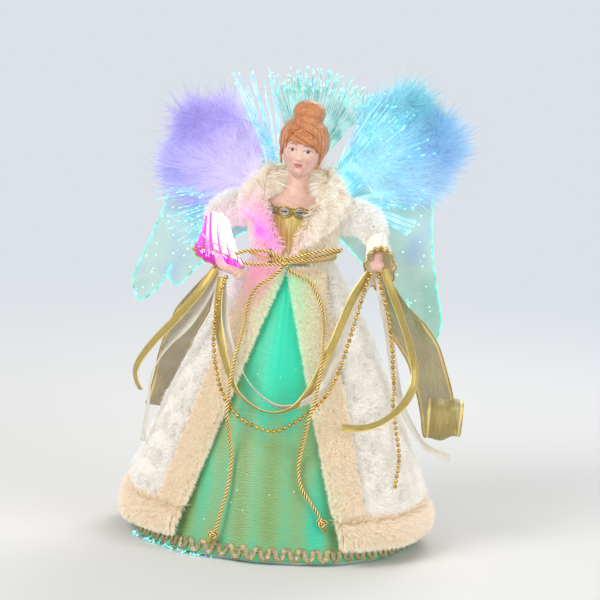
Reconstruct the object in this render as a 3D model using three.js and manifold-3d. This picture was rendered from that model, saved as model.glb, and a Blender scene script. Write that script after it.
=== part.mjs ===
// Lit angel tree topper. A hollow cone that slips over a tree tip carries a doll in a lame dress and
// a plush coat, with two feathered film wings on wire hinges, and a battery light that feeds bundles
// of optical fibre. Millimetres, +Z up, the front faces -Y, left and right as seen from the front.
import * as THREE from 'three';
import { mergeVertices } from 'three/addons/utils/BufferGeometryUtils.js';
import Module from 'manifold-3d';

const wasm = await Module();
wasm.setup();

// Gap between pieces that touch
const clearance = 0.3;

// Support cone and the hoop it stands on
const coneHeight = 197;
const coneBaseRadius = 97;
const coneTopRadius = 19;
const coneBulge = 9.5;
const coneWall = 1.2;
const coneLevels = 5;
const coneSides = 20;
const hoopHeight = 3;
const hoopWidth = 3;
const hoopInset = 0.5;

// Cloth layers over the cone
const fiberGap = 1.8;
const dressThickness = 1.2;
const dressHem = 2.5;
const dressColumns = 48;
const foldDepth = 2.6;
const foldCount = 12;
const hemBraidHeight = 9.2;
const hemBraidThickness = 1.5;
const coatThickness = 7;
const coatHem = 12;
const coatFlare = 4;
const coatFluteDepth = 3;
const coatFluteCount = 9;
const coatSeamAngle = 100;
const coatOpening = 60;
const frontTrimWidth = 24;
const frontTrimThickness = 9.5;
const hemTrimHeight = 22;
const hemTrimThickness = 11;

// Torso: half width and half depth at each height
const waistHalfWidth = 20;
const waistHalfDepth = 17.5;
const chestHalfWidth = 28;
const chestHalfDepth = 19;
const shoulderHalfWidth = 26;
const shoulderHalfDepth = 16;
const chestHeight = 33;
const torsoHeight = 41;
const spigotDepth = 10;
const bodiceThickness = 1.1;
const coatBodiceThickness = 5;
const bodiceHalfAngle = 62;
const coatFrontHalfAngle = 34;
const trunkSlotHalfWidth = 11;
const wingSlotHalfWidth = 13;

// Head and hair
const headTilt = 5;
const headHalfWidth = 14.5;
const headHalfDepth = 16;
const headHalfHeight = 19.5;
const headRise = 41;
const neckRadius = 7.6;
const hairThickness = 4;
const bunRadius = 11;
const braidThickness = 1.2;
const braidHeight = 5;

// Arms
const sleeveRadius = 13;
const wristRadius = 3.2;
const fistRadius = 5;
const cuffWall = 1.2;

// Waist cord, bead chain and ribbons
const cordDiameter = 2.2;
const knotRadius = 3;
const beadDiameter = 3;
const beadPitch = 4;
const beadThread = 1;
const ribbonWidth = 6;
const ribbonThickness = 0.6;
const organzaWidth = 25;

// Wings
const hingeX = 12;
const hingeY = 36;
const hingeRise = 50;
const hingePinRadius = 1.2;
const knuckleRadius = 3;
const knuckleHeight = 8;
const wingTabHeight = 14;
const wingTilt = 4.5;
const filmThickness = 0.6;
const featherHalfWidth = 42;
const featherHalfHeight = 46;
const featherDepth = 21;
const featherOut = 52;
const featherRiseLeft = 9;
const featherRiseRight = 35;
const fiberDiameter = 0.6;
const bracketThickness = 2.5;
const postHeight = 8;
const postWidth = 5;
const webWidth = 3;

// Light: housing, board, leads and fibre trunks
const housingDrop = 49;
const housingHeight = 22;
const housingWall = 2;
const housingTop = 4;
const boardThickness = 1.6;
const ledRadius = 2.5;
const ledHeight = 7;
const ledSpacing = 8;
const chipLength = 8;
const chipWidth = 6;
const chipHeight = 1.6;
const trunkRadius = 2;
const leadRadius = 1.1;
const skirtStrands = 10;
const haloStrands = 11;
const wingStrands = 11;
const fanLow = -8;
const fanHigh = 74;
const fanReach = 70;
const fanUneven = 9;
const haloLow = -18;
const haloHigh = 28;
const haloReach = 73;
const haloUneven = 4;

// Battery box for three AA cells
const cellRadius = 7.1;
const cellLength = 49.2;
const cellNub = 1.3;
const cellPitch = 14.8;
const boxWall = 1.5;
const boxBottom = 22;
const switchBay = 8;
const stripThickness = 0.6;
const stripBump = 1.2;
const coverThickness = 1.8;
const railLip = 1.4;
const switchTravel = 3;
const knobWidth = 4;
const knobDepth = 3;
const gripWidth = 16;
const gripPitch = 2.4;
const screwRadius = 1.2;
const screwHeadRadius = 2.4;
const screwHeadHeight = 1.2;
const stripWidth = 9;

const radians = THREE.MathUtils.degToRad;
const v3 = (x, y, z) => new THREE.Vector3(x, y, z);
const coneStep = coneHeight / coneLevels;

// Solids and booleans

function toSolid(geometry) {
  const bare = geometry.clone();
  bare.deleteAttribute('normal');
  bare.deleteAttribute('uv');
  const merged = mergeVertices(bare, 1e-4);
  const vertProperties = new Float32Array(merged.attributes.position.array);
  const triVerts = new Uint32Array(merged.index.array);
  return new wasm.Manifold(new wasm.Mesh({ numProp: 3, vertProperties, triVerts }));
}

function toGeometry(solid) {
  const mesh = solid.getMesh();
  const geometry = new THREE.BufferGeometry();
  geometry.setAttribute('position', new THREE.BufferAttribute(new Float32Array(mesh.vertProperties), 3));
  geometry.setIndex(new THREE.BufferAttribute(new Uint32Array(mesh.triVerts), 1));
  return geometry;
}

const join = (...shapes) => toGeometry(shapes.map(toSolid).reduce((sum, next) => sum.add(next)));

function cut(shape, ...tools) {
  return toGeometry(tools.map(toSolid).reduce((rest, tool) => rest.subtract(tool), toSolid(shape)));
}

function common(shape, tool) {
  return toGeometry(toSolid(shape).intersect(toSolid(tool)));
}

// A closed surface from points and triangles, with its faces turned outwards
function closedSurface(points, triangles) {
  let volume = 0;
  for (const [a, b, c] of triangles) {
    volume += points[a].dot(points[b].clone().cross(points[c]));
  }
  const facing = volume < 0 ? triangles.map(([a, b, c]) => [a, c, b]) : triangles;
  const geometry = new THREE.BufferGeometry();
  const numbers = points.flatMap((p) => p.toArray());
  geometry.setAttribute('position', new THREE.Float32BufferAttribute(numbers, 3));
  geometry.setIndex(facing.flat());
  return geometry;
}

// Skin over a run of rings with equal counts of points, with a fan at each end
function loft(rings) {
  const sides = rings[0].length;
  const points = rings.flat();
  const triangles = [];
  for (let i = 0; i + 1 < rings.length; i += 1) {
    for (let j = 0; j < sides; j += 1) {
      const a = i * sides + j;
      const b = i * sides + ((j + 1) % sides);
      triangles.push([a, b, b + sides], [a, b + sides, a + sides]);
    }
  }
  const last = (rings.length - 1) * sides;
  const start = points.push(centreOf(rings[0])) - 1;
  const end = points.push(centreOf(rings[rings.length - 1])) - 1;
  for (let j = 0; j < sides; j += 1) {
    const next = (j + 1) % sides;
    triangles.push([start, next, j], [end, last + j, last + next]);
  }
  return closedSurface(points, triangles);
}

function centreOf(ring) {
  return ring.reduce((sum, p) => sum.add(p), v3(0, 0, 0)).divideScalar(ring.length);
}

// A thin wall from columns of outer and inner points: all round when closed, else with end walls
function wall(columns, closed) {
  const rows = columns[0].outer.length;
  const points = columns.flatMap((column) => [...column.outer, ...column.inner]);
  const at = (column, side, row) => ((column % columns.length) * 2 + side) * rows + row;
  const triangles = [];
  const quad = (a, b, c, d) => triangles.push([a, b, c], [a, c, d]);
  const spans = closed ? columns.length : columns.length - 1;
  for (let i = 0; i < spans; i += 1) {
    for (let j = 0; j + 1 < rows; j += 1) {
      quad(at(i, 0, j), at(i + 1, 0, j), at(i + 1, 0, j + 1), at(i, 0, j + 1));
      quad(at(i, 1, j), at(i, 1, j + 1), at(i + 1, 1, j + 1), at(i + 1, 1, j));
    }
    const top = rows - 1;
    quad(at(i, 1, 0), at(i + 1, 1, 0), at(i + 1, 0, 0), at(i, 0, 0));
    quad(at(i, 0, top), at(i + 1, 0, top), at(i + 1, 1, top), at(i, 1, top));
  }
  for (let j = 0; !closed && j + 1 < rows; j += 1) {
    quad(at(0, 1, j), at(0, 0, j), at(0, 0, j + 1), at(0, 1, j + 1));
    quad(at(spans, 0, j), at(spans, 1, j), at(spans, 1, j + 1), at(spans, 0, j + 1));
  }
  return closedSurface(points, triangles);
}

// Round bar along a curve; its radius may change with the share of the way along
function bar(route, radius, sides, steps) {
  const curve = route.length > 2 ? new THREE.CatmullRomCurve3(route) : new THREE.LineCurve3(...route);
  const frames = curve.computeFrenetFrames(steps, false);
  const radiusAt = typeof radius === 'function' ? radius : () => radius;
  const rings = [];
  for (let i = 0; i <= steps; i += 1) {
    const centre = curve.getPointAt(i / steps);
    const ring = [];
    for (let j = 0; j < sides; j += 1) {
      const turn = (2 * Math.PI * j) / sides;
      const across = frames.normals[i].clone().multiplyScalar(Math.cos(turn) * radiusAt(i / steps));
      const over = frames.binormals[i].clone().multiplyScalar(Math.sin(turn) * radiusAt(i / steps));
      ring.push(centre.clone().add(across).add(over));
    }
    rings.push(ring);
  }
  return loft(rings);
}

// Flat strip along a curve; sideOf gives its width direction at a point of the route
function strip(route, sideOf, widthAt, steps) {
  const curve = new THREE.CatmullRomCurve3(route);
  const rings = [];
  for (let i = 0; i <= steps; i += 1) {
    const centre = curve.getPointAt(i / steps);
    const along = curve.getTangentAt(i / steps);
    const side = sideOf(centre, along);
    side.addScaledVector(along, -side.dot(along)).normalize();
    const face = along.clone().cross(side).multiplyScalar(ribbonThickness / 2);
    side.multiplyScalar(widthAt(i / steps) / 2);
    const corner = (s, f) => centre.clone().addScaledVector(side, s).addScaledVector(face, f);
    rings.push([corner(-1, -1), corner(1, -1), corner(1, 1), corner(-1, 1)]);
  }
  return loft(rings);
}

const ellipse = (centre, a, b, sides) =>
  Array.from({ length: sides }, (_, j) => {
    const turn = (2 * Math.PI * j) / sides;
    return centre.clone().addScaledVector(a, Math.cos(turn)).addScaledVector(b, Math.sin(turn));
  });

const level = (x, y, z, halfWidth, halfDepth, sides) =>
  ellipse(v3(x, y, z), v3(halfWidth, 0, 0), v3(0, halfDepth, 0), sides);

const block = (width, depth, height, x, y, z) =>
  new THREE.BoxGeometry(width, depth, height).translate(x, y, z);

const rod = (radius, height, x, y, z, sides) =>
  new THREE.CylinderGeometry(radius, radius, height, sides).rotateX(Math.PI / 2).translate(x, y, z);

const ball = (radius, centre) => new THREE.SphereGeometry(radius, 8, 6).translate(...centre.toArray());

// Radii of the cloth layers over the cone, straight between the cone's levels

function coneRadiusAtLevel(k) {
  const share = k / coneLevels;
  const straight = coneBaseRadius + (coneTopRadius - coneBaseRadius) * share;
  return straight + coneBulge * 4 * share * (1 - share);
}

function coneRadius(z) {
  const k = Math.min(Math.max(Math.floor(z / coneStep), 0), coneLevels - 1);
  const share = z / coneStep - k;
  return coneRadiusAtLevel(k) * (1 - share) + coneRadiusAtLevel(k + 1) * share;
}

const hang = (z) => 1 - z / coneHeight;
const flare = (z) => coatFlare * Math.max(0, 1 - z / (2 * coneStep));
const fold = (angle, z) => (foldDepth * hang(z) * (1 + Math.cos(foldCount * angle))) / 2;
const flute = (angle, z) => (coatFluteDepth * hang(z) * (1 - Math.cos(coatFluteCount * angle))) / 2;
const dressInner = (angle, z) => coneRadius(z) + fiberGap + fold(angle, z);
const dressOuter = (angle, z) => dressInner(angle, z) + dressThickness;
const dressReach = (z) => coneRadius(z) + fiberGap + dressThickness + foldDepth * hang(z);
const coatInner = (z) => dressReach(z) + 2 * clearance + flare(z);
const trimOuter = (z) => coatInner(z) + frontTrimThickness;

// Angles of the coat's front edge and of the seam between its trim and its panel
const frontEdge = (z) => Math.asin((coatOpening * hang(z)) / coatInner(z));
const trimSeam = (z) => frontEdge(z) + frontTrimWidth / coatInner(z);
const seamGap = (z) => clearance / coatInner(z);

const polar = (radius, angle, z) => v3(radius * Math.sin(angle), -radius * Math.cos(angle), z);

function levelsBetween(low, high) {
  const inside = Array.from({ length: coneLevels }, (_, k) => k * coneStep);
  return [low, ...inside.filter((z) => z > low + 1 && z < high - 1), high];
}

// One cloth panel between two angles and two heights
function panel({ low, high, middle = [], from, to, columns, inner, outer, closed = false }) {
  const levels = [...levelsBetween(low, high), ...middle].sort((a, b) => a - b);
  const count = closed ? columns : columns + 1;
  const column = (i) => {
    const point = (z, radius) => {
      const angle = from(z) + ((to(z) - from(z)) * i) / columns;
      const half = (to(z) - from(z)) / columns / 2;
      return polar(radius(angle, z, half), angle, z);
    };
    return {
      outer: levels.map((z) => point(z, outer)),
      inner: levels.map((z) => point(z, inner)),
    };
  };
  return wall(Array.from({ length: count }, (_, i) => column(i)), closed);
}

// Inner radius whose flat facets stay outside the true one
const round = (radius) => (angle, z, half) => radius(z) / Math.cos(half);
const fullTurn = { from: () => 0, to: () => 2 * Math.PI, closed: true };

// Cone, hoop and skirt

function makeCone() {
  const shell = panel({
    low: hoopHeight + clearance, high: coneHeight, columns: coneSides, ...fullTurn,
    inner: round((z) => coneRadius(z) - coneWall), outer: (angle, z) => coneRadius(z),
  });
  const window = rod(trunkRadius + clearance, 3 * trunkRadius, 0, 0, 0, 12).rotateX(Math.PI / 2);
  const height = coneHeight - spigotDepth - 3 * trunkRadius;
  window.translate(0, -coneRadius(height), height);
  return cut(shell, window);
}

function makeHoop() {
  const outer = coneRadius(0) - hoopInset;
  return panel({
    low: 0, high: hoopHeight, columns: coneSides, ...fullTurn,
    inner: () => outer - hoopWidth, outer: () => outer,
  });
}

function makeDress() {
  return panel({
    low: dressHem, high: coneHeight, columns: dressColumns, ...fullTurn,
    inner: (angle, z, half) => dressInner(angle, z) / Math.cos(half), outer: dressOuter,
  });
}

function makeHemBraid() {
  return panel({
    low: dressHem, high: dressHem + hemBraidHeight, columns: dressColumns, ...fullTurn,
    inner: (angle, z) => dressOuter(angle, z) + clearance,
    outer: (angle, z) => dressOuter(angle, z) + clearance + hemBraidThickness,
  });
}

// Coat skirt: two front panels, a back panel, two front trims and one hem trim

const trimTop = coatHem + hemTrimHeight;

function makeCoatPanel(side) {
  const from = (z) => side * (trimSeam(z) + seamGap(z));
  const to = () => side * radians(coatSeamAngle);
  return panel({
    low: trimTop + clearance, high: coneHeight, columns: 6, from, to,
    inner: round(coatInner), outer: (angle, z) => coatInner(z) + coatThickness + flute(angle, z),
  });
}

function makeCoatBack() {
  const from = (z) => radians(coatSeamAngle) + seamGap(z);
  const to = (z) => 2 * Math.PI - from(z);
  return panel({
    low: trimTop + clearance, high: coneHeight, columns: 14, from, to,
    inner: round(coatInner), outer: (angle, z) => coatInner(z) + coatThickness + flute(angle, z),
  });
}

function makeFrontTrim(side) {
  return panel({
    low: trimTop + clearance, high: coneHeight, columns: 3,
    from: (z) => side * frontEdge(z), to: (z) => side * trimSeam(z),
    inner: round(coatInner), outer: (angle, z) => trimOuter(z),
  });
}

function makeHemTrim() {
  const middle = coatHem + hemTrimHeight / 2;
  const swell = (z) => hemTrimThickness * (1 - 0.3 * ((z - middle) / (hemTrimHeight / 2)) ** 2);
  return panel({
    low: coatHem, high: trimTop, middle: [middle], columns: 32,
    from: frontEdge, to: (z) => 2 * Math.PI - frontEdge(z),
    inner: round(coatInner), outer: (angle, z) => coatInner(z) + swell(z) + flute(angle, z),
  });
}

// Torso and what is worn on it

const waist = coneHeight + clearance;
const torsoSides = 20;

// Torso volume grown by an even margin all round its sides
function torsoVolume(grow, bottom = waist, top = waist + torsoHeight) {
  const section = (z) => {
    const share = Math.min(Math.max((z - waist) / chestHeight, 0), 1);
    const rise = Math.max((z - waist - chestHeight) / (torsoHeight - chestHeight), 0);
    const width = waistHalfWidth + (chestHalfWidth - waistHalfWidth) * share;
    const depth = waistHalfDepth + (chestHalfDepth - waistHalfDepth) * share;
    return [
      width + (shoulderHalfWidth - chestHalfWidth) * rise + grow,
      depth + (shoulderHalfDepth - chestHalfDepth) * rise + grow,
    ];
  };
  const heights = [bottom, waist + chestHeight / 2, waist + chestHeight, top];
  return loft(heights.map((z) => level(0, 0, z, ...section(z), torsoSides)));
}

// Wedge that opens towards the front, from the axis outwards
function frontWedge(halfAngle, low, high) {
  const reach = 4 * chestHalfWidth;
  const half = radians(halfAngle);
  const edge = (z) => [
    v3(0, 0, z),
    v3(reach * Math.sin(half), -reach * Math.cos(half), z),
    v3(0, -2 * reach, z),
    v3(-reach * Math.sin(half), -reach * Math.cos(half), z),
  ];
  return loft([edge(low), edge(high)]);
}

const trunkSlotFront = 4;
const trunkExit = 23;
const hingeZ = waist + hingeRise;
const plateHeight = 2 * knuckleHeight + wingTabHeight;
const plateMiddle = hingeZ + 1 - wingTabHeight / 2;
const slotTop = plateMiddle - plateHeight / 2 + postHeight;

function makeTorso() {
  const spigotRadius = coneTopRadius - coneWall - 2 * clearance;
  const spigot = rod(spigotRadius, spigotDepth + 2, 0, 0, waist - spigotDepth / 2 + 1, torsoSides);
  const slotDepth = 2 * chestHalfDepth;
  const slotHeight = slotTop - waist + spigotDepth + 1;
  const slot = block(
    2 * trunkSlotHalfWidth, slotDepth, slotHeight,
    0, trunkSlotFront + slotDepth / 2, slotTop - slotHeight / 2,
  );
  return cut(join(torsoVolume(0), spigot), slot);
}

function makeBodice() {
  const inner = torsoVolume(clearance, waist - 1, waist + torsoHeight + 1);
  const shell = cut(torsoVolume(clearance + bodiceThickness), inner);
  return common(shell, frontWedge(bodiceHalfAngle, waist - 2, waist + torsoHeight + 2));
}

const coatBodiceInner = 2 * clearance + bodiceThickness;
const coatBodiceOuter = coatBodiceInner + coatBodiceThickness;

function makeCoatBodice() {
  const inner = torsoVolume(coatBodiceInner, waist - 1, waist + torsoHeight + 1);
  const shell = cut(torsoVolume(coatBodiceOuter), inner);
  const slotHeight = torsoHeight;
  const slotLow = slotTop - trunkExit;
  const slot = block(
    2 * wingSlotHalfWidth, 4 * chestHalfDepth, slotHeight,
    0, 2 * chestHalfDepth + trunkSlotFront, slotLow + slotHeight / 2,
  );
  return cut(shell, frontWedge(coatFrontHalfAngle, waist - 2, waist + torsoHeight + 2), slot);
}

// Shawl collar: oval sections from the front of the waist over the shoulder to behind the neck

function collarVolume(grow) {
  const top = waist + torsoHeight;
  const stations = [
    [v3(4, -32, waist + 9), v3(4, 0, 2), v3(0, -3.5, 0)],
    [v3(14, -32, waist + 24), v3(8, 2, -1), v3(0, -5, 1)],
    [v3(25, -25, waist + 40), v3(11, 6, -4), v3(2, -5, 3.5)],
    [v3(30, -6, top + 9), v3(9, 2, -8), v3(4, -1, 5)],
    [v3(23, 11, top + 15), v3(5, 5, -10), v3(3.5, 3, 4)],
    [v3(11, 19, top + 18), v3(2, 4, -11), v3(1.5, 4, 2.5)],
  ];
  const grown = (axis) => axis.clone().setLength(axis.length() + grow);
  const mirrored = (p) => v3(-p.x, p.y, p.z);
  const right = stations.map(([c, a, b]) => ellipse(c, grown(a), grown(b), 12));
  const flipped = stations.map((axes) => axes.map(mirrored));
  const left = flipped.map(([c, a, b]) => ellipse(c, grown(a), grown(b), 12));
  const back = ellipse(v3(0, 22, top + 19), grown(v3(0, 3, -11)), grown(v3(0, 4.5, 2)), 12);
  return loft([...right, back, ...left.reverse()]);
}

const overTorso = () => torsoVolume(coatBodiceOuter + clearance, waist, waist + torsoHeight + clearance);

function makeCollar() {
  return cut(collarVolume(0), overTorso(), bustVolume(clearance));
}

// Head: bust and neck with an egg-shaped head, tilted about the neck

const neckBase = waist + torsoHeight + clearance;
const headCentre = v3(0, -2, neckBase + headRise);

function headVolume(grow) {
  const geometry = new THREE.SphereGeometry(1, 14, 9).rotateX(Math.PI / 2);
  const position = geometry.attributes.position;
  for (let i = 0; i < position.count; i += 1) {
    const p = v3().fromBufferAttribute(position, i);
    const jaw = Math.max(-p.z, 0);
    const narrow = 1 - 0.3 * jaw * jaw;
    const x = p.x * (headHalfWidth + grow) * narrow;
    const y = p.y * (headHalfDepth + grow) * (1 - 0.15 * jaw) - 2.5 * jaw;
    position.setXYZ(i, x + headCentre.x, y + headCentre.y, p.z * (headHalfHeight + grow) + headCentre.z);
  }
  return geometry;
}

function bustVolume(grow) {
  const sections = [[0, 15, 12.5, -1], [5, 12.5, 10.5, -1], [9.5, neckRadius + 1.2, neckRadius + 1.2, 0]];
  sections.push([14, neckRadius, neckRadius, 0], [headRise - 13, neckRadius, neckRadius, 0.5]);
  const foot = (rise) => (rise ? neckBase + rise : neckBase - grow);
  return loft(sections.map(([rise, rx, ry, y]) => level(0, y, foot(rise), rx + grow, ry + grow, 14)));
}

const tilted = (geometry) =>
  geometry.translate(0, 0, -neckBase - 12).rotateY(radians(headTilt)).translate(0, 0, neckBase + 12);

function makeHead() {
  const nose = new THREE.ConeGeometry(2, 6, 6).rotateX(0.35);
  nose.translate(0, headCentre.y - headHalfDepth + 0.6, headCentre.z - 4);
  return join(bustVolume(0), tilted(join(headVolume(0), nose)));
}

function makeHair() {
  const cap = new THREE.SphereGeometry(1, 14, 7).rotateX(Math.PI / 2);
  cap.scale(headHalfWidth + hairThickness, headHalfDepth + hairThickness, headHalfHeight - 1);
  cap.translate(0, headCentre.y + 3, headCentre.z + 4);
  const bun = new THREE.SphereGeometry(bunRadius, 10, 6).scale(1.1, 0.85, 1.1).rotateX(Math.PI / 2);
  bun.translate(0, headCentre.y + 5, headCentre.z + headHalfHeight + 4);
  const face = new THREE.SphereGeometry(1, 10, 7).scale(headHalfWidth - 1.5, headHalfDepth, headHalfHeight);
  face.translate(0, headCentre.y - headHalfDepth + 2, headCentre.z - 9);
  return cut(tilted(cut(join(cap, bun), headVolume(clearance), face)), bustVolume(clearance));
}

function makeNecklineBraid() {
  const inner = torsoVolume(clearance * 2 + bodiceThickness, waist, waist + torsoHeight);
  const outer = torsoVolume(clearance * 2 + bodiceThickness + braidThickness, waist, waist + torsoHeight);
  const low = waist + torsoHeight - braidHeight;
  const band = frontWedge(coatFrontHalfAngle - 4, low, waist + torsoHeight + 1);
  return cut(common(outer, band), inner, collarVolume(clearance));
}

// Arms: plush sleeves, bell cuffs and doll hands, placed by their rise over the waist

const arm = (x, y, rise) => v3(x, y, waist + rise);
const hung = (x, y, drop) => v3(x, y, waist - drop);

function makeSleeve(route) {
  const puff = (t) => sleeveRadius * (0.8 + 0.2 * Math.sin(Math.PI * t)) - 3 * t;
  return cut(bar(route, puff, 12, 6), overTorso(), collarVolume(clearance));
}

// Bell cuff from its oval at the wrist to its oval mouth, open at both ends
function makeCuff(root, rootA, rootB, mouth, mouthA, mouthB) {
  const columns = 14;
  const rows = 3;
  const shrink = (axis) => axis.clone().setLength(axis.length() - cuffWall);
  const ringAt = (t, inner) => {
    const centre = root.clone().lerp(mouth, t);
    const bell = t * t * 0.5 + t * 0.5;
    const a = (inner ? shrink(rootA) : rootA).clone().lerp(inner ? shrink(mouthA) : mouthA, bell);
    const b = (inner ? shrink(rootB) : rootB).clone().lerp(inner ? shrink(mouthB) : mouthB, bell);
    return ellipse(centre, a, b, columns);
  };
  const shares = Array.from({ length: rows + 1 }, (_, i) => i / rows);
  const outer = shares.map((t) => ringAt(t, false));
  const inner = shares.map((t) => ringAt(t, true));
  const column = (j) => ({ outer: outer.map((ring) => ring[j]), inner: inner.map((ring) => ring[j]) });
  return wall(Array.from({ length: columns }, (_, j) => column(j)), true);
}

function makeHand(route) {
  const fistStart = 0.55;
  const swell = (t) => Math.sin((Math.PI * Math.max(0, t - fistStart)) / fistStart);
  const shape = (t) => wristRadius + (fistRadius - wristRadius) * swell(t);
  return bar(route, shape, 8, 7);
}

const leftSleeveRoute = [arm(-24, 0, 32.7), arm(-38, -1, 35.7), arm(-50, -5, 32.7), arm(-54, -16, 24.7)];
const rightSleeveRoute = [arm(24, 0, 32.7), arm(38, -1, 35.7), arm(52, -3, 32.7), arm(60, -13, 22.7)];
const leftHandRoute = [
  arm(-54.5, -17.4, 23.6), arm(-49, -36, 11.7), arm(-42, -53, 0.7), arm(-29, -62, -1.8),
];
const rightHandRoute = [
  arm(60.9, -14.4, 21.4), arm(63, -25, 15.7), arm(64.5, -36, 12.2), arm(65, -46, 9.7),
];

// Waist cord, its bow and its two tails

const skirtPoint = (x, z, lift) => v3(x, -Math.sqrt((trimOuter(z) + lift) ** 2 - x * x), z);
const onSkirt = (list) => list.map(([x, z, lift]) => skirtPoint(x, z, lift));
const cordRadius = cordDiameter / 2;
const waistRingZ = waist + 5;
const bowKnot = v3(0, -39.5, waistRingZ);

function makeWaistCord() {
  const margin = coatBodiceOuter + 2 * clearance + cordRadius;
  const ringPoint = (turn) => {
    const share = (waistRingZ - waist) / chestHeight;
    const width = waistHalfWidth + (chestHalfWidth - waistHalfWidth) * share + margin;
    const depth = waistHalfDepth + (chestHalfDepth - waistHalfDepth) * share + margin;
    const bulge = 1 + 0.45 * Math.max(0, Math.cos(turn)) ** 4;
    return v3(width * Math.sin(turn), -depth * bulge * Math.cos(turn), waistRingZ);
  };
  const turns = Array.from({ length: 19 }, (_, i) => 0.04 + ((2 * Math.PI - 0.08) * i) / 18);
  const ring = bar(turns.map(ringPoint), cordRadius, 6, 20);
  const leftLoop = [arm(0, -40, 6.7), arm(-14, -43, 11.7), arm(-28, -45, 10.7), arm(-35, -45, 6.7)];
  leftLoop.push(arm(-28, -45, 2.7), arm(-14, -43, 2.2), arm(0, -40, 3.7));
  const rightLoop = [arm(0, -40, 6.7), arm(15, -42, 12.7), arm(30, -42, 16.7), arm(39, -40, 16.7)];
  rightLoop.push(arm(32, -38, 11.7), arm(15, -40, 6.7), arm(0, -40, 3.7));
  const knot = ball(knotRadius + 0.6, bowKnot);
  return join(ring, knot, bar(leftLoop, cordRadius, 6, 11), bar(rightLoop, cordRadius, 6, 11));
}

const leftTailRoute = [
  hung(-1.5, -41, -0.2),
  ...onSkirt([
    [-9, 190, 5], [-16, 185, 4], [-21, 178, 2.5], [-23.5, 168, 2.2], [-24, 155, 5], [-25.5, 143, 9],
    [-26.3, 135, 10.5], [-27, 127, 12], [-27.5, 118, 12], [-27, 107, 12.8], [-26.5, 99, 11], [-25.5, 91, 5],
    [-24, 82, -1], [-22.5, 72, -6], [-22, 62, -8], [-22.5, 51, -8], [-25, 35, -8], [-27, 24, -8],
    [-29, 17, -8],
  ]),
];
const rightTailRoute = [
  hung(2.5, -41, -0.2),
  ...onSkirt([
    [10, 193, 5], [17, 190, 4], [23, 182, 2.5], [28, 172, 2.2], [31.5, 158, 5], [33, 147, 9.5],
    [33.8, 139, 11.5], [34, 132, 11.5], [33.2, 120, 11.5], [31.5, 108, 12.8], [29.5, 99, 11], [28, 91, 5],
    [26.3, 82, -1.5], [25, 73, -6.5], [25, 64, -8], [28.5, 53, -8], [36, 43, -8], [42, 35, -8],
    [44.5, 30, -8],
  ]),
];

const makeCordTail = (route) =>
  join(bar(route, cordRadius, 8, 28), ball(knotRadius, route[route.length - 1]));

// Bead chain: round beads on a thread, as one turned bar

function makeBeads(route) {
  const length = new THREE.CatmullRomCurve3(route).getLength();
  const beads = Math.round(length / beadPitch);
  const shape = (t) => (Math.round(t * beads * 2) % 2 ? beadDiameter : beadThread) / 2;
  return bar(route, shape, 4, beads * 2);
}

const garlandRoute = [
  hung(-37.5, -60.8, 6.3), hung(-41, -66, 20.3), hung(-42.5, -67.5, 35.3), hung(-42.5, -67, 51.3),
  ...onSkirt([
    [-38, 124, 9.5], [-31, 111, 9], [-23, 103, 9], [-17, 98.5, 9], [-10, 95.5, 9], [-1, 93, 9],
    [7, 92, 9], [18, 97, 9], [27, 104, 9], [35, 111, 9], [39.5, 117, 9], [45, 130, 9.5],
  ]),
  hung(49, -58, 51.3), hung(52.5, -54, 35.3), hung(56, -51.5, 19.3), hung(58, -50, 8.3),
  hung(61.5, -48.5, -3.2),
];
const beadTailRoute = [
  hung(65.8, -45.6, -5), hung(70.5, -48.4, 9.3), hung(75, -42, 25.3), hung(77.5, -32, 43.3),
  hung(79.5, -26, 63.3), hung(81, -22.5, 81.3), hung(81.5, -23, 93.3), hung(85, -28, 108.3),
  hung(88, -32, 119.3), hung(89.5, -36, 126.3), hung(90, -42, 133.3), hung(89.5, -51, 144.3),
];

// Ribbons: swags between the hands and tails down each side

const outwards = (point, along) => along.clone().cross(v3(0.4 * point.x, point.y, 0).normalize());
const across = (x, y, z) => () => v3(x, y, z);
const makeRibbon = (route, sideOf = outwards) => strip(route, sideOf, () => ribbonWidth, 18);

const satinSwagRoute = [
  hung(-41.5, -55, 6.2), hung(-38.5, -58, 22.3), hung(-35, -60.5, 41.3),
  ...onSkirt([
    [-27, 137, 4.7], [-18, 125, 4.7], [-10, 117, 4.7], [-1, 111, 4.7], [8, 107.5, 4.7], [18, 108, 4.7],
    [28, 113, 4.7], [36, 121, 4.7], [40, 133, 4.7],
  ]),
  hung(45, -49.5, 48.3), hung(50, -45, 30.3), hung(55.5, -43.5, 13.3), hung(63, -43.6, -3.2),
];
const goldSwagRoute = [
  hung(-41.5, -57.8, 6.8), hung(-42, -62, 23.3), hung(-39.5, -64.5, 44.3),
  ...onSkirt([
    [-25, 118, 6.6], [-15, 109.5, 6.6], [-2, 104, 6.6], [9, 104, 6.6], [19, 108.5, 6.6], [27, 118, 6.6],
    [32, 128, 6.6], [36, 140, 7.2],
  ]),
  hung(41, -57, 43.3), hung(46, -53, 27.3), hung(51.5, -50, 12.3), hung(60.5, -46.5, -3.7),
];
const satinTailLeftRoute = [
  hung(-44, -50.4, 3.3), hung(-50.5, -50.5, 19.3), hung(-64, -46.5, 43.3), hung(-76, -43, 57.3),
  hung(-83, -41, 68.3), hung(-88, -39, 79.3), hung(-90, -37, 87.3), hung(-91, -35, 100.3),
  hung(-92, -33.5, 112.3), hung(-94, -31.5, 132.3),
];
const goldTailLeftRoute = [
  hung(-47.2, -51.6, 2), hung(-57, -54.5, 19.3), hung(-73, -51, 40.3), hung(-88, -47.5, 58.3),
  hung(-98, -43, 73.3), hung(-101, -40, 82.3), hung(-99.5, -38, 90.3), hung(-97, -36.5, 95.3),
];
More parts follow.
